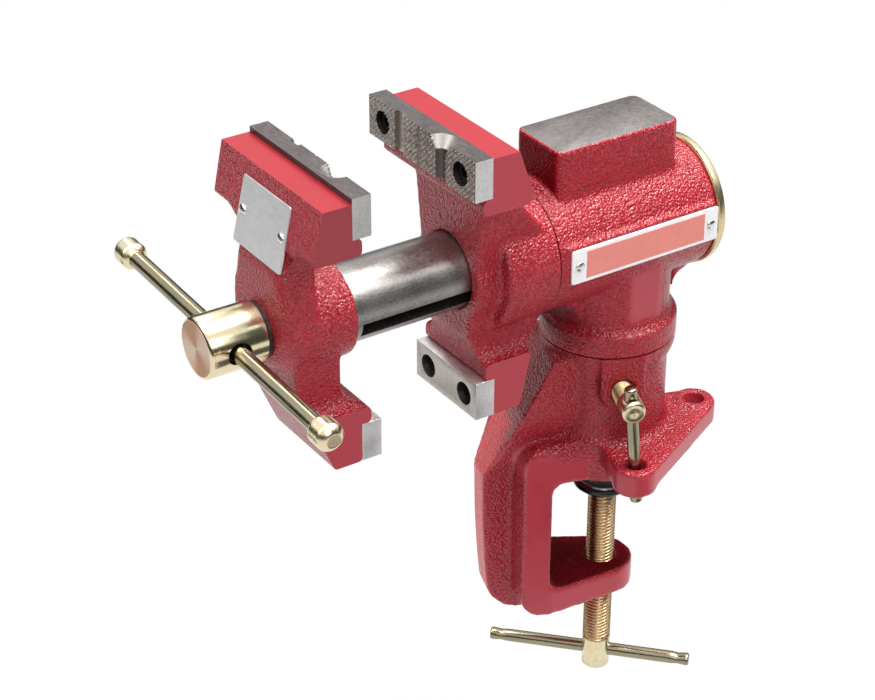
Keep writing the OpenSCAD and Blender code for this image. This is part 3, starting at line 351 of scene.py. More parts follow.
def solid(name, verts, faces, mats, index=None):
    """A mesh in millimetres with outward normals."""
    me = bpy.data.meshes.new(name)
    me.from_pydata((np.asarray(verts, float) * MM).tolist(), [], faces)
    if index is not None:
        me.polygons.foreach_set("material_index", np.asarray(index, np.int32))
    bm = bmesh.new()
    bm.from_mesh(me)
    bmesh.ops.recalc_face_normals(bm, faces=bm.faces)
    bm.to_mesh(me)
    bm.free()
    return link(name, me, mats)


def baked(obj):
    """Replaces an object's mesh by what its modifiers make of it."""
    dg = bpy.context.evaluated_depsgraph_get()
    me = bpy.data.meshes.new_from_object(obj.evaluated_get(dg), preserve_all_data_layers=True, depsgraph=dg)
    obj.modifiers.clear()
    obj.data = me


def carve(obj, *cutters):
    """Takes the cutters away from obj, one after the other. Cut faces keep the cutter's material index."""
    mats = list(obj.data.materials)
    for cutter in cutters:
        for m in mats:
            cutter.data.materials.append(m)
        for solver in ("MANIFOLD", "EXACT"):
            mod = obj.modifiers.new("cut", "BOOLEAN")
            mod.operation = "DIFFERENCE"
            mod.object = cutter
            mod.solver = solver
            mod.material_mode = "INDEX"
            dg = bpy.context.evaluated_depsgraph_get()
            me = bpy.data.meshes.new_from_object(obj.evaluated_get(dg), depsgraph=dg)
            obj.modifiers.clear()
            if len(me.polygons) > 3:
                break
        for i, m in enumerate(mats):
            if i < len(me.materials):
                me.materials[i] = m
            else:
                me.materials.append(m)
        obj.data = me
        bpy.data.objects.remove(cutter)


def box(x0, x1, y0, y1, z0, z1, index=0, turn=None):
    v = [(x, y, z) for x in (x0, x1) for y in (y0, y1) for z in (z0, z1)]
    f = [(0, 1, 3, 2), (4, 6, 7, 5), (0, 4, 5, 1), (2, 3, 7, 6), (0, 2, 6, 4), (1, 5, 7, 3)]
    obj = solid("cutter", v, f, [], [index] * 6)
    if turn is not None:
        obj.data.transform(turn)
    return obj


def lathe(name, rings, mats, index=None, seg=64, ring_closed=False):
    """Turned solid about Z. A ring is (radius, z); the radius may be an array of seg values."""
    ang = np.linspace(0, 2 * math.pi, seg, endpoint=False)
    verts, rows = [], []
    for r, z in rings:
        r = np.asarray(r, float)
        if r.ndim == 0 and r < 1e-6:
            rows.append([len(verts)])
            verts.append((0.0, 0.0, z))
            continue
        rows.append(list(range(len(verts), len(verts) + seg)))
        r = np.broadcast_to(r, seg)
        verts += [(a, b, z) for a, b in zip(r * np.cos(ang), r * np.sin(ang))]
    pairs = list(zip(rows, rows[1:]))
    if ring_closed:
        pairs.append((rows[-1], rows[0]))
    faces, ids = [], []
    for k, (a, b) in enumerate(pairs):
        for i in range(seg):
            j = (i + 1) % seg
            if len(a) == 1:
                faces.append((a[0], b[j], b[i]))
            elif len(b) == 1:
                faces.append((a[i], a[j], b[0]))
            else:
                faces.append((a[i], a[j], b[j], b[i]))
            ids.append(index[k] if index else 0)
    return solid(name, verts, faces, mats, ids)


def rod(r, z0, z1, place, index=0, seg=48):
    obj = lathe("cutter", [(0, z0), (r, z0), (r, z1), (0, z1)], [], [index] * 3, seg)
    obj.data.transform(place)
    return obj


def ring(r0, r1, z0, z1, place):
    obj = lathe("cutter", [(r0, z0), (r1, z0), (r1, z1), (r0, z1)], [], None, 96, True)
    obj.data.transform(place)
    return obj


def shift(x=0.0, y=0.0, z=0.0):
    return Matrix.Translation(Vector((x, y, z)) * MM)


# Frames: turned parts are drawn along Z and then laid along an axis of the vise.
UPRIGHT = Matrix.Identity(4)
HALF_TURN = Matrix.Rotation(math.pi, 4, "Y")
ALONG_Y = Matrix.Rotation(-math.pi / 2, 4, "X")
ALONG_X = Matrix.Rotation(math.pi / 2, 4, "Y")
HEAD_AXIS = shift(0, FACE, AXIS) @ ALONG_Y
IN_BASE = Matrix.Rotation(BASE_TURN, 4, "Z")
CLAMP_AXIS = IN_BASE @ shift(0, CLAMP_Y, 0)
LOCK_AXIS = (Matrix.Rotation(LOCK_TURN, 4, "Z") @ shift(0, 0, LOCK_H)
             @ Matrix.Rotation(LOCK_TILT, 4, "X") @ ALONG_X)
HEAD_LOCK_AXIS = shift(0, 4, AXIS - 7) @ Matrix.Rotation(math.pi, 4, "Z") @ ALONG_X


def settle(obj, node, angle=32):
    """Smooth shading with crisp edges; the piece rides with, and stands for, its CAD node."""
    obj.data.shade_smooth()
    obj.data.set_sharp_from_angle(angle=math.radians(angle))
    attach(obj, BODY[node])
    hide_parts(node)


def welded(node):
    bm = bmesh.new()
    bm.from_mesh(NODES[node].data)
    bmesh.ops.remove_doubles(bm, verts=bm.verts, dist=1e-6)
    return bm


# Castings
def edge_ends(me):
    """Both ends of each edge, and the number of edges that meet at each vertex."""
    e = np.zeros(len(me.edges) * 2, np.int32)
    me.edges.foreach_get("vertices", e)
    a, b = e.reshape(-1, 2).T
    size = len(me.vertices)
    return a, b, np.bincount(a, minlength=size) + np.bincount(b, minlength=size)


def ring_sum(a, b, w):
    """For each vertex, the sum of w over the vertices that share an edge with it."""
    return np.bincount(a, w[b], len(w)) + np.bincount(b, w[a], len(w))


def casting(name, node, machined, mats, rounds=9, shape=None):
    """A copy of the solid with cast edges: remeshed and relaxed, with room left at the machined planes.

    A machined plane is (axis, place, how far it moves out, which of its points do).
    """
    bm = welded(node)
    for v in bm.verts:
        p = v.co / MM
        move = Vector()
        for axis, at, out, where in machined:
            if abs(p[axis] - at) < 0.02 and where(p):
                move[axis] += out
        v.co += move * MM
    me = bpy.data.meshes.new(name)
    bm.to_mesh(me)
    bm.free()
    obj = link(name, me, mats)
    mod = obj.modifiers.new("skin", "REMESH")
    mod.mode = "VOXEL"
    mod.voxel_size = VOXEL * MM
    baked(obj)
    me = obj.data
    co = np.zeros(len(me.vertices) * 3)
    me.vertices.foreach_get("co", co)
    co = co.reshape(-1, 3)
    a, b, n = edge_ends(me)
    for _ in range(rounds):
        s = np.empty_like(co)
        for k in range(3):
            s[:, k] = ring_sum(a, b, co[:, k])
        co += 0.5 * (s / n[:, None] - co)
    if shape:
        shape(co)
    me.vertices.foreach_set("co", co.ravel())
    me.update()
    me.materials.clear()
    for m in mats:
        me.materials.append(m)
    return obj


def soft_mask(obj, name, test, turn=None, rounds=6):
    """A vertex mask of what test(place, normal) gives, from 0 to 1, blurred along the edges."""
    inv = turn.inverted() if turn else Matrix.Identity(4)
    rot = inv.to_3x3()
    me = obj.data
    w = np.array([float(test(inv @ v.co / MM, rot @ v.normal)) for v in me.vertices])
    a, b, n = edge_ends(me)
    for _ in range(rounds):
        w = 0.5 * w + 0.5 * ring_sum(a, b, w) / np.maximum(n, 1)
    me.attributes.new(name, "FLOAT", "POINT").data.foreach_set("value", w)


def any_place(p):
    return True


def radius(p):
    return math.hypot(p.x, p.z - AXIS)


def unit(value):
    return min(max(value, 0.0), 1.0)


def jaw_planes(top, left):
    """The machined planes of both jaw castings: the top, and the ends of the upper and the lower jaw."""
    def upper(p):
        return p.z > AXIS + 30

    def lower(p):
        return p.z < AXIS - 29.0
    return [(2, top, CAST_ROOM, any_place),
            (0, JAW_HALF, CAST_ROOM, upper), (0, left, -CAST_ROOM, upper),
            (0, LOW_HALF, CAST_ROOM, lower), (0, -LOW_HALF, -CAST_ROOM, lower)]


def jaw_cutters(top, left, y0, y1, end):
    """Cutters for those planes; end is the material index of the upper ends."""
    return [box(-50, 50, y0, y1, top, top + 9, 2),
            box(JAW_HALF, 50, y0, y1, AXIS + 24, AXIS + 70, end),
            box(-50, left, y0, y1, AXIS + 24, AXIS + 70, end),
            box(LOW_HALF, 30, y0, y1, AXIS - 70, AXIS - 27, 1),
            box(-30, -LOW_HALF, y0, y1, AXIS - 70, AXIS - 27, 1)]


def rear_jaw():
    top = AXIS + REAR_TOP
    hub_face = (1, FACE + HUB_END, CAST_ROOM, lambda p: radius(p) > 18.8)
    obj = casting("rear_jaw_casting", "rear_jaw", [*jaw_planes(top, REAR_LEFT), hub_face], [CAST, FLAT, TOP])
    carve(obj,
          *jaw_cutters(top, REAR_LEFT, FACE - 20, FACE + 60, 1),
          ring(18.98, 40, HUB_END - 0.4, HUB_END + 6, HEAD_AXIS),
          box(-40, 40, FACE - 30, FACE + PLATE_T, AXIS + PLATE_LOW, AXIS + 70, 1),
          box(-30, 30, FACE - 30, FACE + 18.0, AXIS - 70, AXIS - LOW_SEAT, 1),
          rod(TUBE_BORE, -20, 100, HEAD_AXIS, 0, 96))
    settle(obj, "rear_jaw")


def sliding_jaw():
    top = AXIS + SLIDE_TOP
    obj = casting("sliding_jaw_casting", "sliding_jaw", jaw_planes(top, -JAW_HALF),
                  [CAST, FLAT, TOP, FLAT_PAINTED_SHADE])
    carve(obj,
          # The upper ends take index 3, the painted shade copy of the flat paint
          *jaw_cutters(top, -JAW_HALF, SLIDE - 60, SLIDE + 30, 3),
          box(-40, 40, SLIDE - PLATE_T, SLIDE + 30, AXIS + PLATE_LOW, AXIS + 70, 1),
          box(-30, 30, SLIDE + 2.8, SLIDE + 40, AXIS - 70, AXIS - LOW_SEAT, 1),
          rod(TUBE_BORE, -OPEN - 17.8, 20, HEAD_AXIS, 0, 96),
          rod(6.12, -80, 0, HEAD_AXIS, 0, 64))
    settle(obj, "sliding_jaw")


def head_painted_shade(c, n):
    """Painted shade: the anvil's front is darkened, and so is the flange on the side below the jaws."""
    if n.y < -0.9 and c.z > AXIS + 22:
        return 1.0
    away = -0.55 * n.x - 0.83 * n.y
    level = unit((SEAM + 20 - c.z) / 6) * unit((c.z - SEAM + 1) / 6)
    return 0.75 * level * unit((away - 0.15) / 0.5)


def head_body():
    top = AXIS + 38.7
    lo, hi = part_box("head_body")
    front = lo.y / MM
    back = hi.y / MM
    flange = SEAM + 0.1
    obj = casting("head_body_casting", "head_body", [
        (2, top, 0.1, any_place),
        (1, front, -CAST_ROOM, lambda p: radius(p) > 18.9),
        (1, back, 1.0, lambda p: radius(p) > 18.9),
        (2, flange, -1.6, lambda p: math.hypot(p.x, p.y) > 16.3),
    ], [CAST, FLAT, ANVIL], rounds=6)
    carve(obj,
          box(-30, 30, -60, 60, top, top + 9, 2),
          ring(18.9, 40, front - FACE - 6, front - FACE + 0.3, HEAD_AXIS),
          ring(18.9, 40, back - FACE, back - FACE + 6, HEAD_AXIS),
          ring(16.42, 40, flange - 6, flange + 0.35, UPRIGHT),
          rod(19.12, -20, 140, HEAD_AXIS, 0, 96))
    soft_mask(obj, "flat", lambda c, n: abs(n.x) > 0.95 and SEAM + 12 < c.z < AXIS - 12, rounds=10)
    # Painted shade on the anvil's front and on the flange below the jaws
    soft_mask(obj, "dark", head_painted_shade, rounds=3)
    settle(obj, "head_body")


def swollen_rib(co):
    """The spine's outer edge bulges half way down and sweeps round at its foot."""
    rot = np.array(IN_BASE.to_3x3())
    p = co @ rot / MM
    back = np.clip((-33.0 - p[:, 1]) / 7.0, 0, 1) * np.clip((16.0 - np.abs(p[:, 0])) / 8.0, 0, 1)
    z = p[:, 2]
    swell, middle, reach = 1.7, -22.0, 40.0
    bulge = swell * np.clip(1 - ((z - middle) / reach) ** 2, 0, 1)
    foot, wide, tight = -62.0, 12.0, 6.0  # the foot's height, and the sweep's radius here and in the solid
    u = np.clip(foot + wide - z, 0, 11.99)
    v = np.clip(foot + tight - z, 0, 5.99)
    sweep = (wide - np.sqrt(wide * wide - u * u)) - (tight - np.sqrt(tight * tight - v * v))
    p[:, 1] += back * (sweep - bulge)
    co[:] = p * MM @ rot.T


def base_painted_shade(c, n):
    """Painted shade: the throat's inner faces are darkened fully, and the shoulder below the jaws, which lies
    in half shade, by half.
    """
    if (n.z > 0.8 and c.z < -38 and c.y > -24) or (n.y > 0.8 and c.z < -2 and c.y < -15):
        return 1.0
    if c.z < 14 or c.y < -36:
        return 0.0
    away = -0.267 * n.x - 0.959 * n.y
    return 0.5 * unit((c.z - 14) / 10) * unit((away - 0.2) / 0.4)


def base_casting():
    obj = casting("base_casting_body", "base_casting", [
        (2, SEAM, 1.6, lambda p: math.hypot(p.x, p.y) < 26),
    ], [CAST], rounds=6, shape=swollen_rib)
    carve(obj,
          ring(10, 45, SEAM - 0.25, SEAM + 6, UPRIGHT),
          rod(16.52, SEAM - 34, SEAM + 9, UPRIGHT, 0, 96),
          rod(4.42, 10, 60, LOCK_AXIS, 0),
          rod(5.52, -90, -30, CLAMP_AXIS, 0))
    soft_mask(obj, "flat", lambda c, n: (abs(n.x) > 0.95 and abs(c.x) > 17.0 and c.z < 9)
              or (abs(n.z) < 0.5 and c.z < -40 and c.y > -34 and (abs(n.x) > 0.3 or c.y > 0))
              or (abs(n.z) < 0.3 and 5.5 < c.z < 16.5 and math.hypot(c.x, c.y) > 30), IN_BASE, 10)
    # Painted sheen on the rib's outer face
    soft_mask(obj, "pale", lambda c, n: n.y < -0.8 and c.y < -38 and abs(c.x) < 8, IN_BASE, 4)
    # Painted shade in the throat and on the shoulder below the jaws
    soft_mask(obj, "dark", base_painted_shade, IN_BASE, 4)
    settle(obj, "base_casting")


# Jaw plates
def graded(lo, hi, step, lines):
    """Grid places from lo to hi about step apart, with the given lines kept exactly."""
    marks = sorted({round(v, 4) for v in [lo, hi, *lines] if lo <= v <= hi})
    out = []
    for a, b in zip(marks, marks[1:]):
        out += list(np.linspace(a, b, max(1, round((b - a) / step)) + 1)[:-1])
    return np.array(out + [hi])


def upper_plate(name, node, end, face, sense):
    """Knurled plate as a relief: diamond knurl, flat groove, vee, and a round groove with a countersink."""
    half, height = JAW_HALF, PLATE_H
    groove, vee, bow = -12.9, -1.0, 11.8  # places of the flat, the vee and the round groove
    groove_half, vee_half, bow_r = 2.5, 1, 2.9
    mouth, sunk = 5.75, 4  # the countersink's radius at the top, and its height
    pitch, tooth, rim, step = 1.45, 0.46, 0.35, 0.24  # of the knurl, the broken edge and the grid
    xs = graded(-half, half, step, [
        -half + rim, half - rim, groove - 2.52, groove - 2.48, groove + 2.48, groove + 2.52,
        vee - vee_half, vee, vee + vee_half,
        bow - mouth, bow - 2.92, bow - 2.85, bow + 2.85, bow + 2.92, bow + mouth])
    zs = graded(0, height, step, [rim, height - sunk, height - rim])
    x, z = np.meshgrid(xs, zs, indexing="ij")
    knurl = np.zeros_like(x)
    for t in ((x + z) / math.sqrt(2), (x - z) / math.sqrt(2)):
        s = np.abs((t / pitch) % 1.0 - 0.5) * pitch
        knurl = np.maximum(knurl, tooth - s)
    edge = np.minimum(np.minimum(x + half, half - x), np.minimum(z, height - z))
    d = np.where(edge < rim, np.maximum(np.minimum(knurl, 0.3), rim - edge), knurl)
    d = np.where(np.abs(x - vee) < vee_half, np.maximum(d, vee_half - np.abs(x - vee)), d)
    r = bow_r + np.clip((z - height + sunk) / sunk, 0, 1) * (mouth - bow_r)
    bowl = np.sqrt(np.maximum(r * r - (x - bow) ** 2, 0))
    d = np.maximum(d, bowl)
    d = np.where(np.abs(x - groove) < groove_half, 1.6, d)
    nx, nz = x.shape
    low = AXIS + PLATE_LOW
    verts = [(x[i, k], face + sense * d[i, k], low + z[i, k]) for i in range(nx) for k in range(nz)]
    faces, ids = [], []
    for i in range(nx - 1):
        for k in range(nz - 1):
            a = i * nz + k
            faces.append((a, a + nz, a + nz + 1, a + 1))
            xm, zm = (xs[i] + xs[i + 1]) / 2, (zs[k] + zs[k + 1]) / 2
            kind = 0
            if abs(xm - groove) < groove_half:
                kind = 3
            if abs(xm - bow) < bow_r:
                kind = 1
            if zm > height - sunk and abs(xm - bow) < mouth and bowl[i, k] > 0.2:
                kind = 5
            ids.append(kind)
    back = {}
    for i in range(nx):
        for k in (range(nz) if i in (0, nx - 1) else (0, nz - 1)):
            back[i, k] = len(verts)
            verts.append((xs[i], face + sense * PLATE_T, low + zs[k]))
    for k in (0, nz - 1):
        for i in range(nx - 1):
            faces.append((i * nz + k, (i + 1) * nz + k, back[i + 1, k], back[i, k]))
            ids.append(1)
    for i in (0, nx - 1):
        for k in range(nz - 1):
            faces.append((i * nz + k, i * nz + k + 1, back[i, k + 1], back[i, k]))
            ids.append(2)
    loop = ([back[i, 0] for i in range(nx)] + [back[nx - 1, k] for k in range(1, nz)]
            + [back[i, nz - 1] for i in range(nx - 2, -1, -1)] + [back[0, k] for k in range(nz - 2, 0, -1)])
    faces.append(tuple(loop))
    ids.append(1)
    obj = solid(name, verts, faces, [KNURL, PLATE_TOP, end, LOW_FACE, HOLE_PAINTED_SHADE, CONE], ids)
    # The screw holes take painted shade
    for s in (-1, 1):
        at = shift(s * 23.2, face, AXIS + 48.5) @ Matrix.Rotation(-sense * math.pi / 2, 4, "X")
        carve(obj, rod(4.15, -3, 4.8, at, 4), rod(2.9, 3, 9, at, 4))
    settle(obj, node, angle=28)


def lower_plate(name, node):
    """Ground plate: the CAD solid with its edges broken, with painted shade in its holes, and pale on its ends
    and top.
    """
    bevel, screw_x, screw_z, hole = 0.28, 11.1, AXIS - 43.25, 4.3
    bm = welded(node)
    bmesh.ops.dissolve_limit(bm, angle_limit=math.radians(1), verts=bm.verts, edges=bm.edges)
    sharp = [e for e in bm.edges if len(e.link_faces) == 2 and e.calc_face_angle(0) > math.radians(25)]
    bmesh.ops.bevel(bm, geom=sharp, offset=bevel * MM, segments=2, profile=0.5, affect="EDGES",
                    clamp_overlap=True)
    bmesh.ops.triangulate(bm, faces=[f for f in bm.faces if len(f.verts) > 4])
    me = bpy.data.meshes.new(name)
    bm.to_mesh(me)
    bm.free()
    obj = link(name, me, [LOW_FACE, PLATE_END, HOLE_PAINTED_SHADE])
    for p in me.polygons:
        c, n = p.center / MM, p.normal
        # The screw holes take painted shade
        if any(math.hypot(c.x - s * screw_x, c.z - screw_z) < hole for s in (-1, 1)):
            p.material_index = 2
        else:
            p.material_index = 1 if abs(n.x) > 0.7 or n.z > 0.7 else 0
    settle(obj, node)


# Slide and spindle
def span(node):
    """Where a node on the barrel's axis begins and ends, in millimetres behind the rear jaw's face."""
    lo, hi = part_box(node)
    return lo.y / MM - FACE, hi.y / MM - FACE


def slide_tube():
    y0, y1 = span("slide_tube")
    inner, outer, slot = 9.0, 13.6, 2.8
    rings = [(inner, y0), (13.2, y0), (outer, y0 + 0.4), (outer, y1 - 0.6), (13.0, y1), (inner, y1)]
    obj = lathe("slide_tube_turned", rings, [TUBE, PAINTED_SHADE_STEEL], [0, 0, 0, 0, 0, 1], 96, True)
    obj.data.transform(HEAD_AXIS)
    turn = shift(0, FACE, AXIS) @ Matrix.Rotation(SLOT_TURN, 4, "Y")
    # The slot's walls and the bore take painted shade
    carve(obj, box(-slot, slot, -OPEN + 7.2, y1 + 5, -16, -4, 1, turn))
    settle(obj, "slide_tube")


def spindle():
    y0, y1 = span("spindle")
    r, shank, head = 10.6, 6.0, 21.7
    rings = [(0, y0 + 0.12)]
    rings += [(k, y0 + (0.12 if i % 2 else 0.06)) for i, k in enumerate(np.arange(0.5, 9.4, 0.45))]
    face = len(rings)
    rings += [(9.6, y0), (10.1, y0 + 0.22), (10.45, y0 + 0.6), (r, y0 + 1.0), (r, y0 + head - 0.8),
              (10.2, y0 + head - 0.25), (9.7, y0 + head), (shank, y0 + head), (shank, y1 - 1),
              (5.2, y1), (0, y1)]
    obj = lathe("spindle_turned", rings, [HEAD, HEAD_FACE, INNER, HOLE_PAINTED_SHADE],
                [1] * face + [0] * 6 + [2] * 4, 96)
    obj.data.transform(HEAD_AXIS)
    hole = (shift(0, FACE + y0 + HANDLE_HOLE, AXIS) @ Matrix.Rotation(HANDLE_TURN, 4, "Y")) @ ALONG_X
    pin = shift(0, FACE - OPEN - SLIDE_FRONT + 6.5 + 0.1 + 3, AXIS)
    carve(obj, rod(3.06, -20, 20, hole, 0), rod(1.43, -20, 20, pin, 2, 24))
    # The handle hole's mouth takes painted shade
    for side in (HALF_TURN, UPRIGHT):
        mouth = lathe("cutter", [(0, 8.6), (3.4, 8.6), (4.6, 11.2), (4.6, 14), (0, 14)], [], [3] * 4, 48)
        mouth.data.transform(hole @ side)
        carve(obj, mouth)
    obj.data.transform(shift(0, -FACE - y0, -AXIS))
    obj.matrix_world = shift(0, FACE + y0, AXIS)
    settle(obj, "spindle")


def handle():
    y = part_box("spindle")[0].y / MM + HANDLE_HOLE
    at = shift(0, y, AXIS) @ Matrix.Rotation(HANDLE_TURN, 4, "Y") @ shift(-1.6, 0, 0) @ ALONG_X
    half = 129 / 2  # from the bar's middle to a knob's middle
    zs = np.linspace(-half - 3, half + 3, 60)
    drawn = lathe("handle_bar_drawn", [(0, zs[0]), *[(3.0, z) for z in zs], (0, zs[-1])], [ROD], None, 40)
    drawn.matrix_world = at
    settle(drawn, "handle_bar")
    ball, widest, end = 5.6, 4.9, 5.0
    prof = [(min(widest, math.sqrt(max(ball * ball - (end * k) ** 2, 0))), end * k)
            for k in np.linspace(-1, 1, 25)]
    rings = [(0, 3.05), (3.04, 3.05), (3.04, -end), *prof, (prof[-1][0] - 0.35, end), (0, end)]
    parts = []
    for side in (UPRIGHT, HALF_TURN):
        knob = lathe("knob", rings, [LOCK], None, 48)
        knob.data.transform(at @ side @ shift(0, 0, half))
        parts.append(knob)
    settle(join("handle_knobs_turned", parts, [LOCK]), "handle_knobs", angle=40)


def join(name, parts, mats):
    bm = bmesh.new()
    for p in parts:
        bm.from_mesh(p.data)
        bpy.data.objects.remove(p)
    me = bpy.data.meshes.new(name)
    bm.to_mesh(me)
    bm.free()
    return link(name, me, mats)


def rear_cap():
    y0, y1 = span("rear_cap")
    front = y1 - 3.4
    rings = [(0, y0), (15.7, y0), (16.1, y0 + 0.4), (16.1, front), (23.6, front), (24.2, front + 0.5),
             (24.2, y1 - 1.0), (23.9, y1 - 0.4), (23.2, y1), (21.0, y1), (20.6, y1 - 0.25), (6.0, y1 - 0.25),
             (5.6, y1), (0, y1)]
    obj = lathe("rear_cap_turned", rings, [CAP, PAINTED_SHADE_STEEL], None, 96)
    obj.data.transform(HEAD_AXIS)
    # The spanner holes take painted shade
    for s in (-1, 1):
        carve(obj, rod(2.5, front - 0.05, y1 + 3, shift(s * 15, 0, 0) @ HEAD_AXIS, 1, 40))
    settle(obj, "rear_cap")


# Screws, bars and pad
def threaded(z0, z1, r, depth, pitch, seg):
    """Rings of a helical thread between z0 and z1 whose crests reach r. It fades over one turn at each end."""
    ang = np.linspace(0, 1, seg, endpoint=False)
    zs = np.arange(z0, z1 + 1e-6, pitch / 8)
    rings = []
    for z in zs:
        t = (z / pitch - ang) % 1.0
        wave = np.clip(np.abs(t - 0.5) * 2.9 - 0.3, 0, 1)
        near = min(1.0, (z - z0) / pitch, (z1 - z) / pitch)
        rings.append((r - depth * max(0.0, near) * wave, z))
    return rings


def clamp_screw():
    lo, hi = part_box("clamp_screw")
    z0, z1 = lo.z / MM, hi.z / MM
    r, neck, shoulder = 5.4, 3.1, -16.4
    bar_z = z0 + 7
    rings = [(0, z0), (r - 0.9, z0), (r - 0.5, z0 + 0.2), (r, z0 + 0.9), (r, bar_z + 6.2)]
    n = len(rings)
    thread = threaded(bar_z + 6.4, shoulder - 0.8, r, 0.72, 1.5, 48)
    rings += thread + [(r - 0.2, shoulder - 0.4), (r - 0.7, shoulder), (neck, shoulder), (neck, z1), (0, z1)]
    obj = lathe("clamp_screw_threaded", rings, [THREAD, LOCK, INNER],
                [1] * (n - 1) + [0] * (len(thread) + 1) + [0, 2, 2, 2, 2], 48)
    obj.data.transform(CLAMP_AXIS)
    hole = CLAMP_AXIS @ Matrix.Rotation(CLAMP_BAR_TURN, 4, "Z") @ shift(0, 0, bar_z) @ ALONG_X
    carve(obj, rod(2.56, -12, 12, hole, 1))
    settle(obj, "clamp_screw", angle=50)


def bar(name, node, r, length, place):
    """Drawn bar whose ends are pinched flat so that it can't fall out."""
    seg = 40
    ang = np.linspace(0, 2 * math.pi, seg, endpoint=False)
    half = length / 2
    rings = [(0, -half)]
    for z in np.concatenate([[-half, -half + 0.25, -half + 0.8], np.linspace(-half + 1.2, half - 1.2, 90),
                             [half - 0.8, half - 0.25, half]]):
        end = half - abs(z)
        pinched = r - 0.5 * math.exp(-(((end - 4.3) / 1.6) ** 2))
        trim = 0.35 * max(0.0, 1 - end / 0.4)
        rad = 1 / np.sqrt((np.cos(ang) / pinched) ** 2 + (np.sin(ang) / r) ** 2) - trim
        rings.append((rad, z))
    rings.append((0, half))
    obj = lathe(name, rings, [ROD], None, seg)
    obj.matrix_world = place
    settle(obj, node, angle=50)


def lock_screw(name, node, tip, end, hole_at, place):
    r = 4.3
    rings = [(0, tip), (r - 0.9, tip), (r - 0.5, tip + 0.4)]
    thread = threaded(tip + 0.5, hole_at - 3.6, r, 0.55, 1.25, 48)
    rings += thread + [(r, hole_at - 3.4), (r, end - 0.8), (r - 0.25, end - 0.3), (r - 0.8, end), (1.0, end),
                       (0.7, end - 0.15), (0, end - 0.2)]
    obj = lathe(name, rings, [THREAD, LOCK], [0] * (len(thread) + 3) + [1] * 6, 48)
    obj.data.transform(place)
    carve(obj, rod(2.36, -12, 12, place @ shift(0, 0, hole_at) @ ALONG_X, 1))
    settle(obj, node, angle=50)


def clamp_pad():
    face, low = PAD_FACE, -16.3
    rings = [(0, face - 2.2), (3.15, face - 2.2), (3.15, low), (8.4, low), (8.7, low + 0.1), (11.2, face - 2.6),
             (11.4, face - 2.2), (11.4, face - 1.0), (11.2, face - 0.7), (9.95, face - 0.62), (9.65, face),
             (9.2, face), (8.8, face - 0.3), (6.5, face - 1.4), (0, face - 1.6)]
    obj = lathe("clamp_pad_turned", rings, [PAD, PAD_RIM], [0] * 9 + [1, 1] + [0] * 3, 72)
    obj.data.transform(CLAMP_AXIS)
    settle(obj, "clamp_pad", angle=40)


# Plates and rivets
def slab(name, node, w, h, place, mat):
    """Thin plate with rounded corners and a broken upper edge, drawn on Z = 0."""
    r, broken = 0.9, 0.15
    outline = []
    for sx, sy, start in ((1, 1, 0), (-1, 1, 90), (-1, -1, 180), (1, -1, 270)):
        for a in np.radians(np.linspace(start, start + 90, 7)):
            outline.append((sx * (w / 2 - r) + r * math.cos(a), sy * (h / 2 - r) + r * math.sin(a)))
    outline = np.array(outline)
    n = len(outline)
    levels = [(0.0, 0.0), (0.0, SHEET_T - broken), (broken, SHEET_T)]
    verts, faces = [], []
    for inner, z in levels:
        s = np.array([(w / 2 - inner) / (w / 2), (h / 2 - inner) / (h / 2)])
        verts += [(x, y, z) for x, y in outline * s]
    for k in range(len(levels) - 1):
        for i in range(n):
            j = (i + 1) % n
            faces.append((k * n + i, k * n + j, (k + 1) * n + j, (k + 1) * n + i))
    faces.append(tuple(range(n))[::-1])
    faces.append(tuple(range((len(levels) - 1) * n, len(levels) * n)))
    obj = solid(name, verts, faces, [mat])
    obj.data.transform(place)
    settle(obj, node)


def rivets(name, node, places):
    r = 1.9
    dome = [(r * math.cos(a), 0.12 + 0.68 * math.sin(a)) for a in np.linspace(0, 1.45, 9)]
    parts = []
    for place in places:
        head = lathe("rivet", [(0, 0), (r, 0.0), *dome, (0, 0.8)], [RIVET], None, 36)
        head.data.transform(place)
        parts.append(head)
    settle(join(name, parts, [RIVET]), node, angle=50)


def plates():
    facing_x = Matrix(((0, 0, 1, 0), (1, 0, 0, 0), (0, 1, 0, 0), (0, 0, 0, 1)))
    at = shift(24, FACE + 45.3 + SIDE_W / 2, AXIS + 1) @ facing_x
    slab("side_plate_enamel", "side_plate", SIDE_W, SIDE_H, at, BORDER)
    coral_field(at @ shift(0, 0, SHEET_T))
    rivets("side_plate_rivet_heads", "side_plate_rivets",
           [at @ shift(s * (SIDE_W / 2 - 3.2), 0, SHEET_T) for s in (-1, 1)])
    slope = math.atan2(SLIDE_FRONT - 17.2, SLIDE_TOP - FRONT_KNEE)
    length = (SLIDE_TOP - FRONT_KNEE) / math.cos(slope)
    up = Vector((0, math.sin(slope), math.cos(slope)))
    out = Vector((0, -math.cos(slope), math.sin(slope)))
    m = Matrix.Identity(4)
    m.col[0][:3] = up.cross(out)
    m.col[1][:3] = up
    m.col[2][:3] = out
    knee = shift(0, SLIDE - SLIDE_FRONT, AXIS + FRONT_KNEE)
    mid = knee @ m @ shift(0, length - DATA_H / 2 - 5.2, 0)
    slab("data_plate_blank", "data_plate", DATA_W, DATA_H, mid, SHEET)
    rivets("data_plate_rivet_heads", "data_plate_rivets", [mid @ shift(s * 12.1, 0, SHEET_T) for s in (-1, 1)])


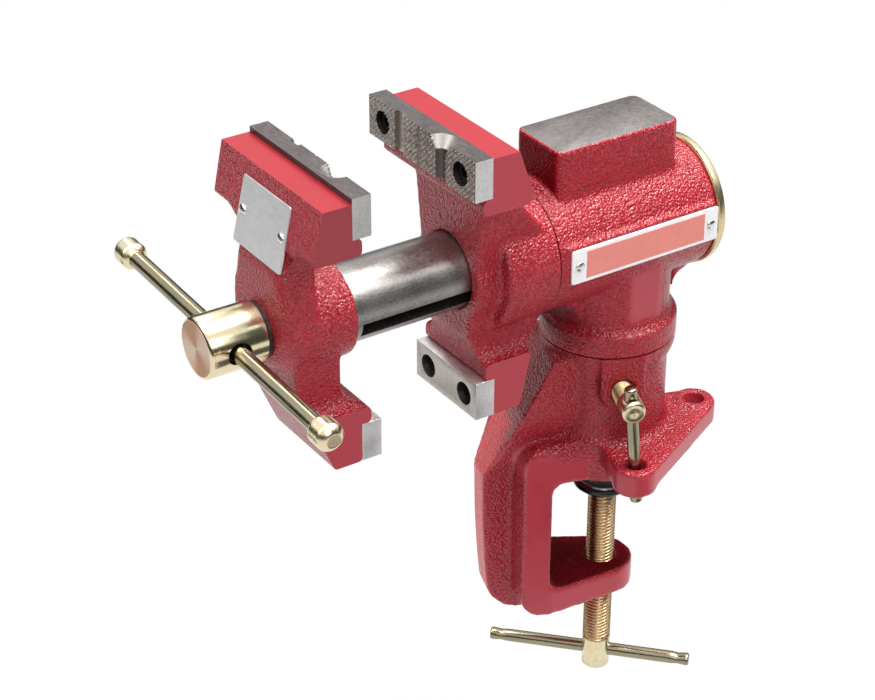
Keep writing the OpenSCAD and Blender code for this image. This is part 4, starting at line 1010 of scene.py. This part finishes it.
def coral_field(place):
    """Coral enamel field, a hair proud of the plate, between the two rivets."""
    w, h, t = 51.2, 10.3, 0.06
    v = []
    for z, k in ((0.0, 0.0), (t, 0.05)):
        v += [(sx * (w / 2 - k), sy * (h / 2 - k), z) for sx, sy in ((-1, -1), (1, -1), (1, 1), (-1, 1))]
    f = [(3, 2, 1, 0), (4, 5, 6, 7), (0, 1, 5, 4), (1, 2, 6, 5), (2, 3, 7, 6), (3, 0, 4, 7)]
    obj = solid("side_plate_field", v, f, [CORAL])
    obj.data.transform(place)
    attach(obj, BODY["side_plate"])


def plain_nodes():
    """Small and hidden solids keep their CAD mesh and get a steel finish; the thrust washer's is near black, a
    painted shadow between head and jaw.
    """
    for finish, names in (
            (SOCKET, ("rear_upper_screws", "rear_lower_screws",
                      "sliding_upper_screws", "sliding_lower_screws")),
            (INNER, ("spindle_nut", "nut_key", "spindle_collar", "collar_pin")),
            # Painted shadow ring between the spindle head and the jaw
            (PAINTED_SHADE_STEEL, ("thrust_washer",))):
        for n in names:
            NODES[n].data.materials.clear()
            NODES[n].data.materials.append(finish)


# Stage
def seen_mask(nt):
    """1 for what the camera sees, straight or in a mirror or through glass, and 0 for light that is cast."""
    path = nt.nodes.new("ShaderNodeLightPath")
    total = path.outputs["Is Camera Ray"]
    for k in ("Is Glossy Ray", "Is Transmission Ray"):
        n = nt.nodes.new("ShaderNodeMath")
        n.operation = "MAXIMUM"
        nt.links.new(total, n.inputs[0])
        nt.links.new(path.outputs[k], n.inputs[1])
        total = n.outputs[0]
    return total


def stage():
    """White world and floor, and the dark surround."""
    w = bpy.data.worlds.new("studio")
    scene.world = w
    w.use_nodes = True
    nt = w.node_tree
    bg = nt.nodes["Background"]
    bg.inputs["Color"].default_value = (1, 1, 1, 1)
    n = nt.nodes.new("ShaderNodeMapRange")
    nt.links.new(seen_mask(nt), n.inputs["Value"])
    n.inputs["To Min"].default_value = 0.20
    n.inputs["To Max"].default_value = 1.0
    nt.links.new(n.outputs["Result"], bg.inputs["Strength"])

    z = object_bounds()[0].z - CLAMP_DROP
    me = bpy.data.meshes.new("floor")
    half = 6.0
    me.from_pydata([(-half, -half, z), (half, -half, z), (half, half, z), (-half, half, z)], [], [(0, 1, 2, 3)])
    m = bpy.data.materials.new("floor_white")
    m.use_nodes = True
    nt = m.node_tree
    b = nt.nodes["Principled BSDF"]
    b.inputs["Base Color"].default_value = (0.7, 0.7, 0.7, 1)
    b.inputs["Roughness"].default_value = 0.9
    glow = nt.nodes.new("ShaderNodeEmission")
    glow.inputs["Strength"].default_value = 1.0
    share = nt.nodes.new("ShaderNodeMath")
    share.operation = "MULTIPLY"
    nt.links.new(seen_mask(nt), share.inputs[0])
    place = nt.nodes.new("ShaderNodeTexCoord")
    far = nt.nodes.new("ShaderNodeVectorMath")
    far.operation = "LENGTH"
    nt.links.new(place.outputs["Object"], far.inputs[0])
    fade = nt.nodes.new("ShaderNodeMapRange")
    nt.links.new(far.outputs["Value"], fade.inputs["Value"])
    for socket, value in (("From Min", 0.15), ("From Max", 0.45), ("To Min", 0.90), ("To Max", 1.0)):
        fade.inputs[socket].default_value = value
    nt.links.new(fade.outputs["Result"], share.inputs[1])
    mix = nt.nodes.new("ShaderNodeMixShader")
    nt.links.new(share.outputs[0], mix.inputs[0])
    nt.links.new(b.outputs[0], mix.inputs[1])
    nt.links.new(glow.outputs[0], mix.inputs[2])
    nt.links.new(mix.outputs[0], nt.nodes["Material Output"].inputs["Surface"])
    link("floor", me, [m])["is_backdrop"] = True
    surround(z)


def surround(z):
    """Dark curtain and flags round the set, out of the camera's sight, that give gloss and metal dark bands."""
    n, r, top = 48, 1.3, z + 0.62
    ring_at = [(r * math.cos(2 * math.pi * i / n), r * math.sin(2 * math.pi * i / n)) for i in range(n)]
    dark_card("curtain", [(x, y, h) for h in (z + 0.002, top) for x, y in ring_at],
              [(i, (i + 1) % n, n + (i + 1) % n, n + i) for i in range(n)], True)
    near, wide, high = Vector((0.70, 0.38)), Vector((-0.19, 0.35)), 0.74
    a, b = near - wide, near + wide
    low = z + 0.001
    low_right = ((0.13, -0.12), (0.36, -0.12), (0.34, 0.10), (0.13, 0.15))
    low_left = ((-0.45, -0.46), (-0.1, -0.46), (-0.1, -0.325), (-0.45, -0.325))
    flags = {
        "flag_right": [(*a, z + 0.01), (*b, z + 0.01), (*b, high), (*a, high)],
        "flag_low_right": [(x, y, low) for x, y in low_right],
        "flag_low_left": [(x, y, low) for x, y in low_left],
    }
    for name, corners in flags.items():
        dark_card(name, corners, [(0, 1, 2, 3)], False)


def dark_card(name, verts, faces, shades):
    me = bpy.data.meshes.new(name)
    me.from_pydata(verts, [], faces)
    m = Mat(name + "_cloth", Roughness=0.9)
    m.out(Base_Color=m.ramp(m.noise(3.0), (0.3, 0.020), (0.7, 0.030)))
    obj = link(name, me, [m.m])
    obj.visible_camera = False
    obj.visible_diffuse = shades
    obj.visible_shadow = shades
    obj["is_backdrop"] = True


def lamp(name, place, aim, size, power):
    data = bpy.data.lights.new(name, "AREA")
    data.shape = "RECTANGLE"
    data.size, data.size_y = size
    data.energy = power
    obj = bpy.data.objects.new(name, data)
    scene.collection.objects.link(obj)
    obj.location = place
    obj.rotation_mode = "QUATERNION"
    obj.rotation_quaternion = (Vector(aim) - Vector(place)).to_track_quat("-Z", "Y")


camera()
rear_jaw()
sliding_jaw()
head_body()
base_casting()
upper_plate("rear_upper_plate_knurled", "rear_upper_plate", PLATE_END, FACE, 1)
# The sliding plate's ends take the painted shade copy of the end steel
upper_plate("sliding_upper_plate_knurled", "sliding_upper_plate", END_PAINTED_SHADE, SLIDE, -1)
lower_plate("rear_lower_plate_ground", "rear_lower_plate")
lower_plate("sliding_lower_plate_ground", "sliding_lower_plate")
slide_tube()
spindle()
handle()
rear_cap()
clamp_screw()
clamp_pad()
bar("clamp_bar_drawn", "clamp_bar", 2.5, 79, CLAMP_AXIS @ Matrix.Rotation(CLAMP_BAR_TURN, 4, "Z")
    @ shift(-2.6, 0, PAD_FACE - CLAMP_BAR_DROP) @ ALONG_X)
bar("swivel_lock_bar_drawn", "swivel_lock_bar", 2.3, 48,
    LOCK_AXIS @ shift(0, 0, LOCK_HOLE) @ ALONG_X @ shift(0, 0, 15.5))
bar("head_lock_bar_drawn", "head_lock_bar", 2.3, 48,
    HEAD_LOCK_AXIS @ shift(0, 0, HEAD_LOCK_HOLE) @ Matrix.Rotation(math.pi / 2, 4, "X"))
lock_screw("swivel_lock_screw_threaded", "swivel_lock_screw", 15.0, 39.5, LOCK_HOLE, LOCK_AXIS)
lock_screw("head_lock_screw_threaded", "head_lock_screw", 19.2, 39.0, HEAD_LOCK_HOLE, HEAD_LOCK_AXIS)
plates()
plain_nodes()
stage()
lamp("overhead", (-0.05, -0.15, 1.3), (0, -0.05, 0.1), (0.8, 0.8), 13.5)
lamp("left_key", (-0.35, -1.0, 0.95), (0, -0.1, 0.08), (0.6, 0.6), 6.0)
lamp("right_key", (1.05, -0.35, 0.8), (0, -0.03, 0.06), (0.6, 0.6), 5.6)
lamp("rim_high", (0.07, 0.42, 1.0), (0, -0.02, 0.1), (0.35, 0.35), 10.0)
lamp("rim_low", (0.48, 0.42, 0.84), (0, -0.02, 0.1), (0.35, 0.35), 3.2)
lamp("left_strip", (-0.78, 0.0, 0.85), (0, -0.1, 0.1), (0.15, 0.5), 1.2)
scene.view_settings.view_transform = "Standard"
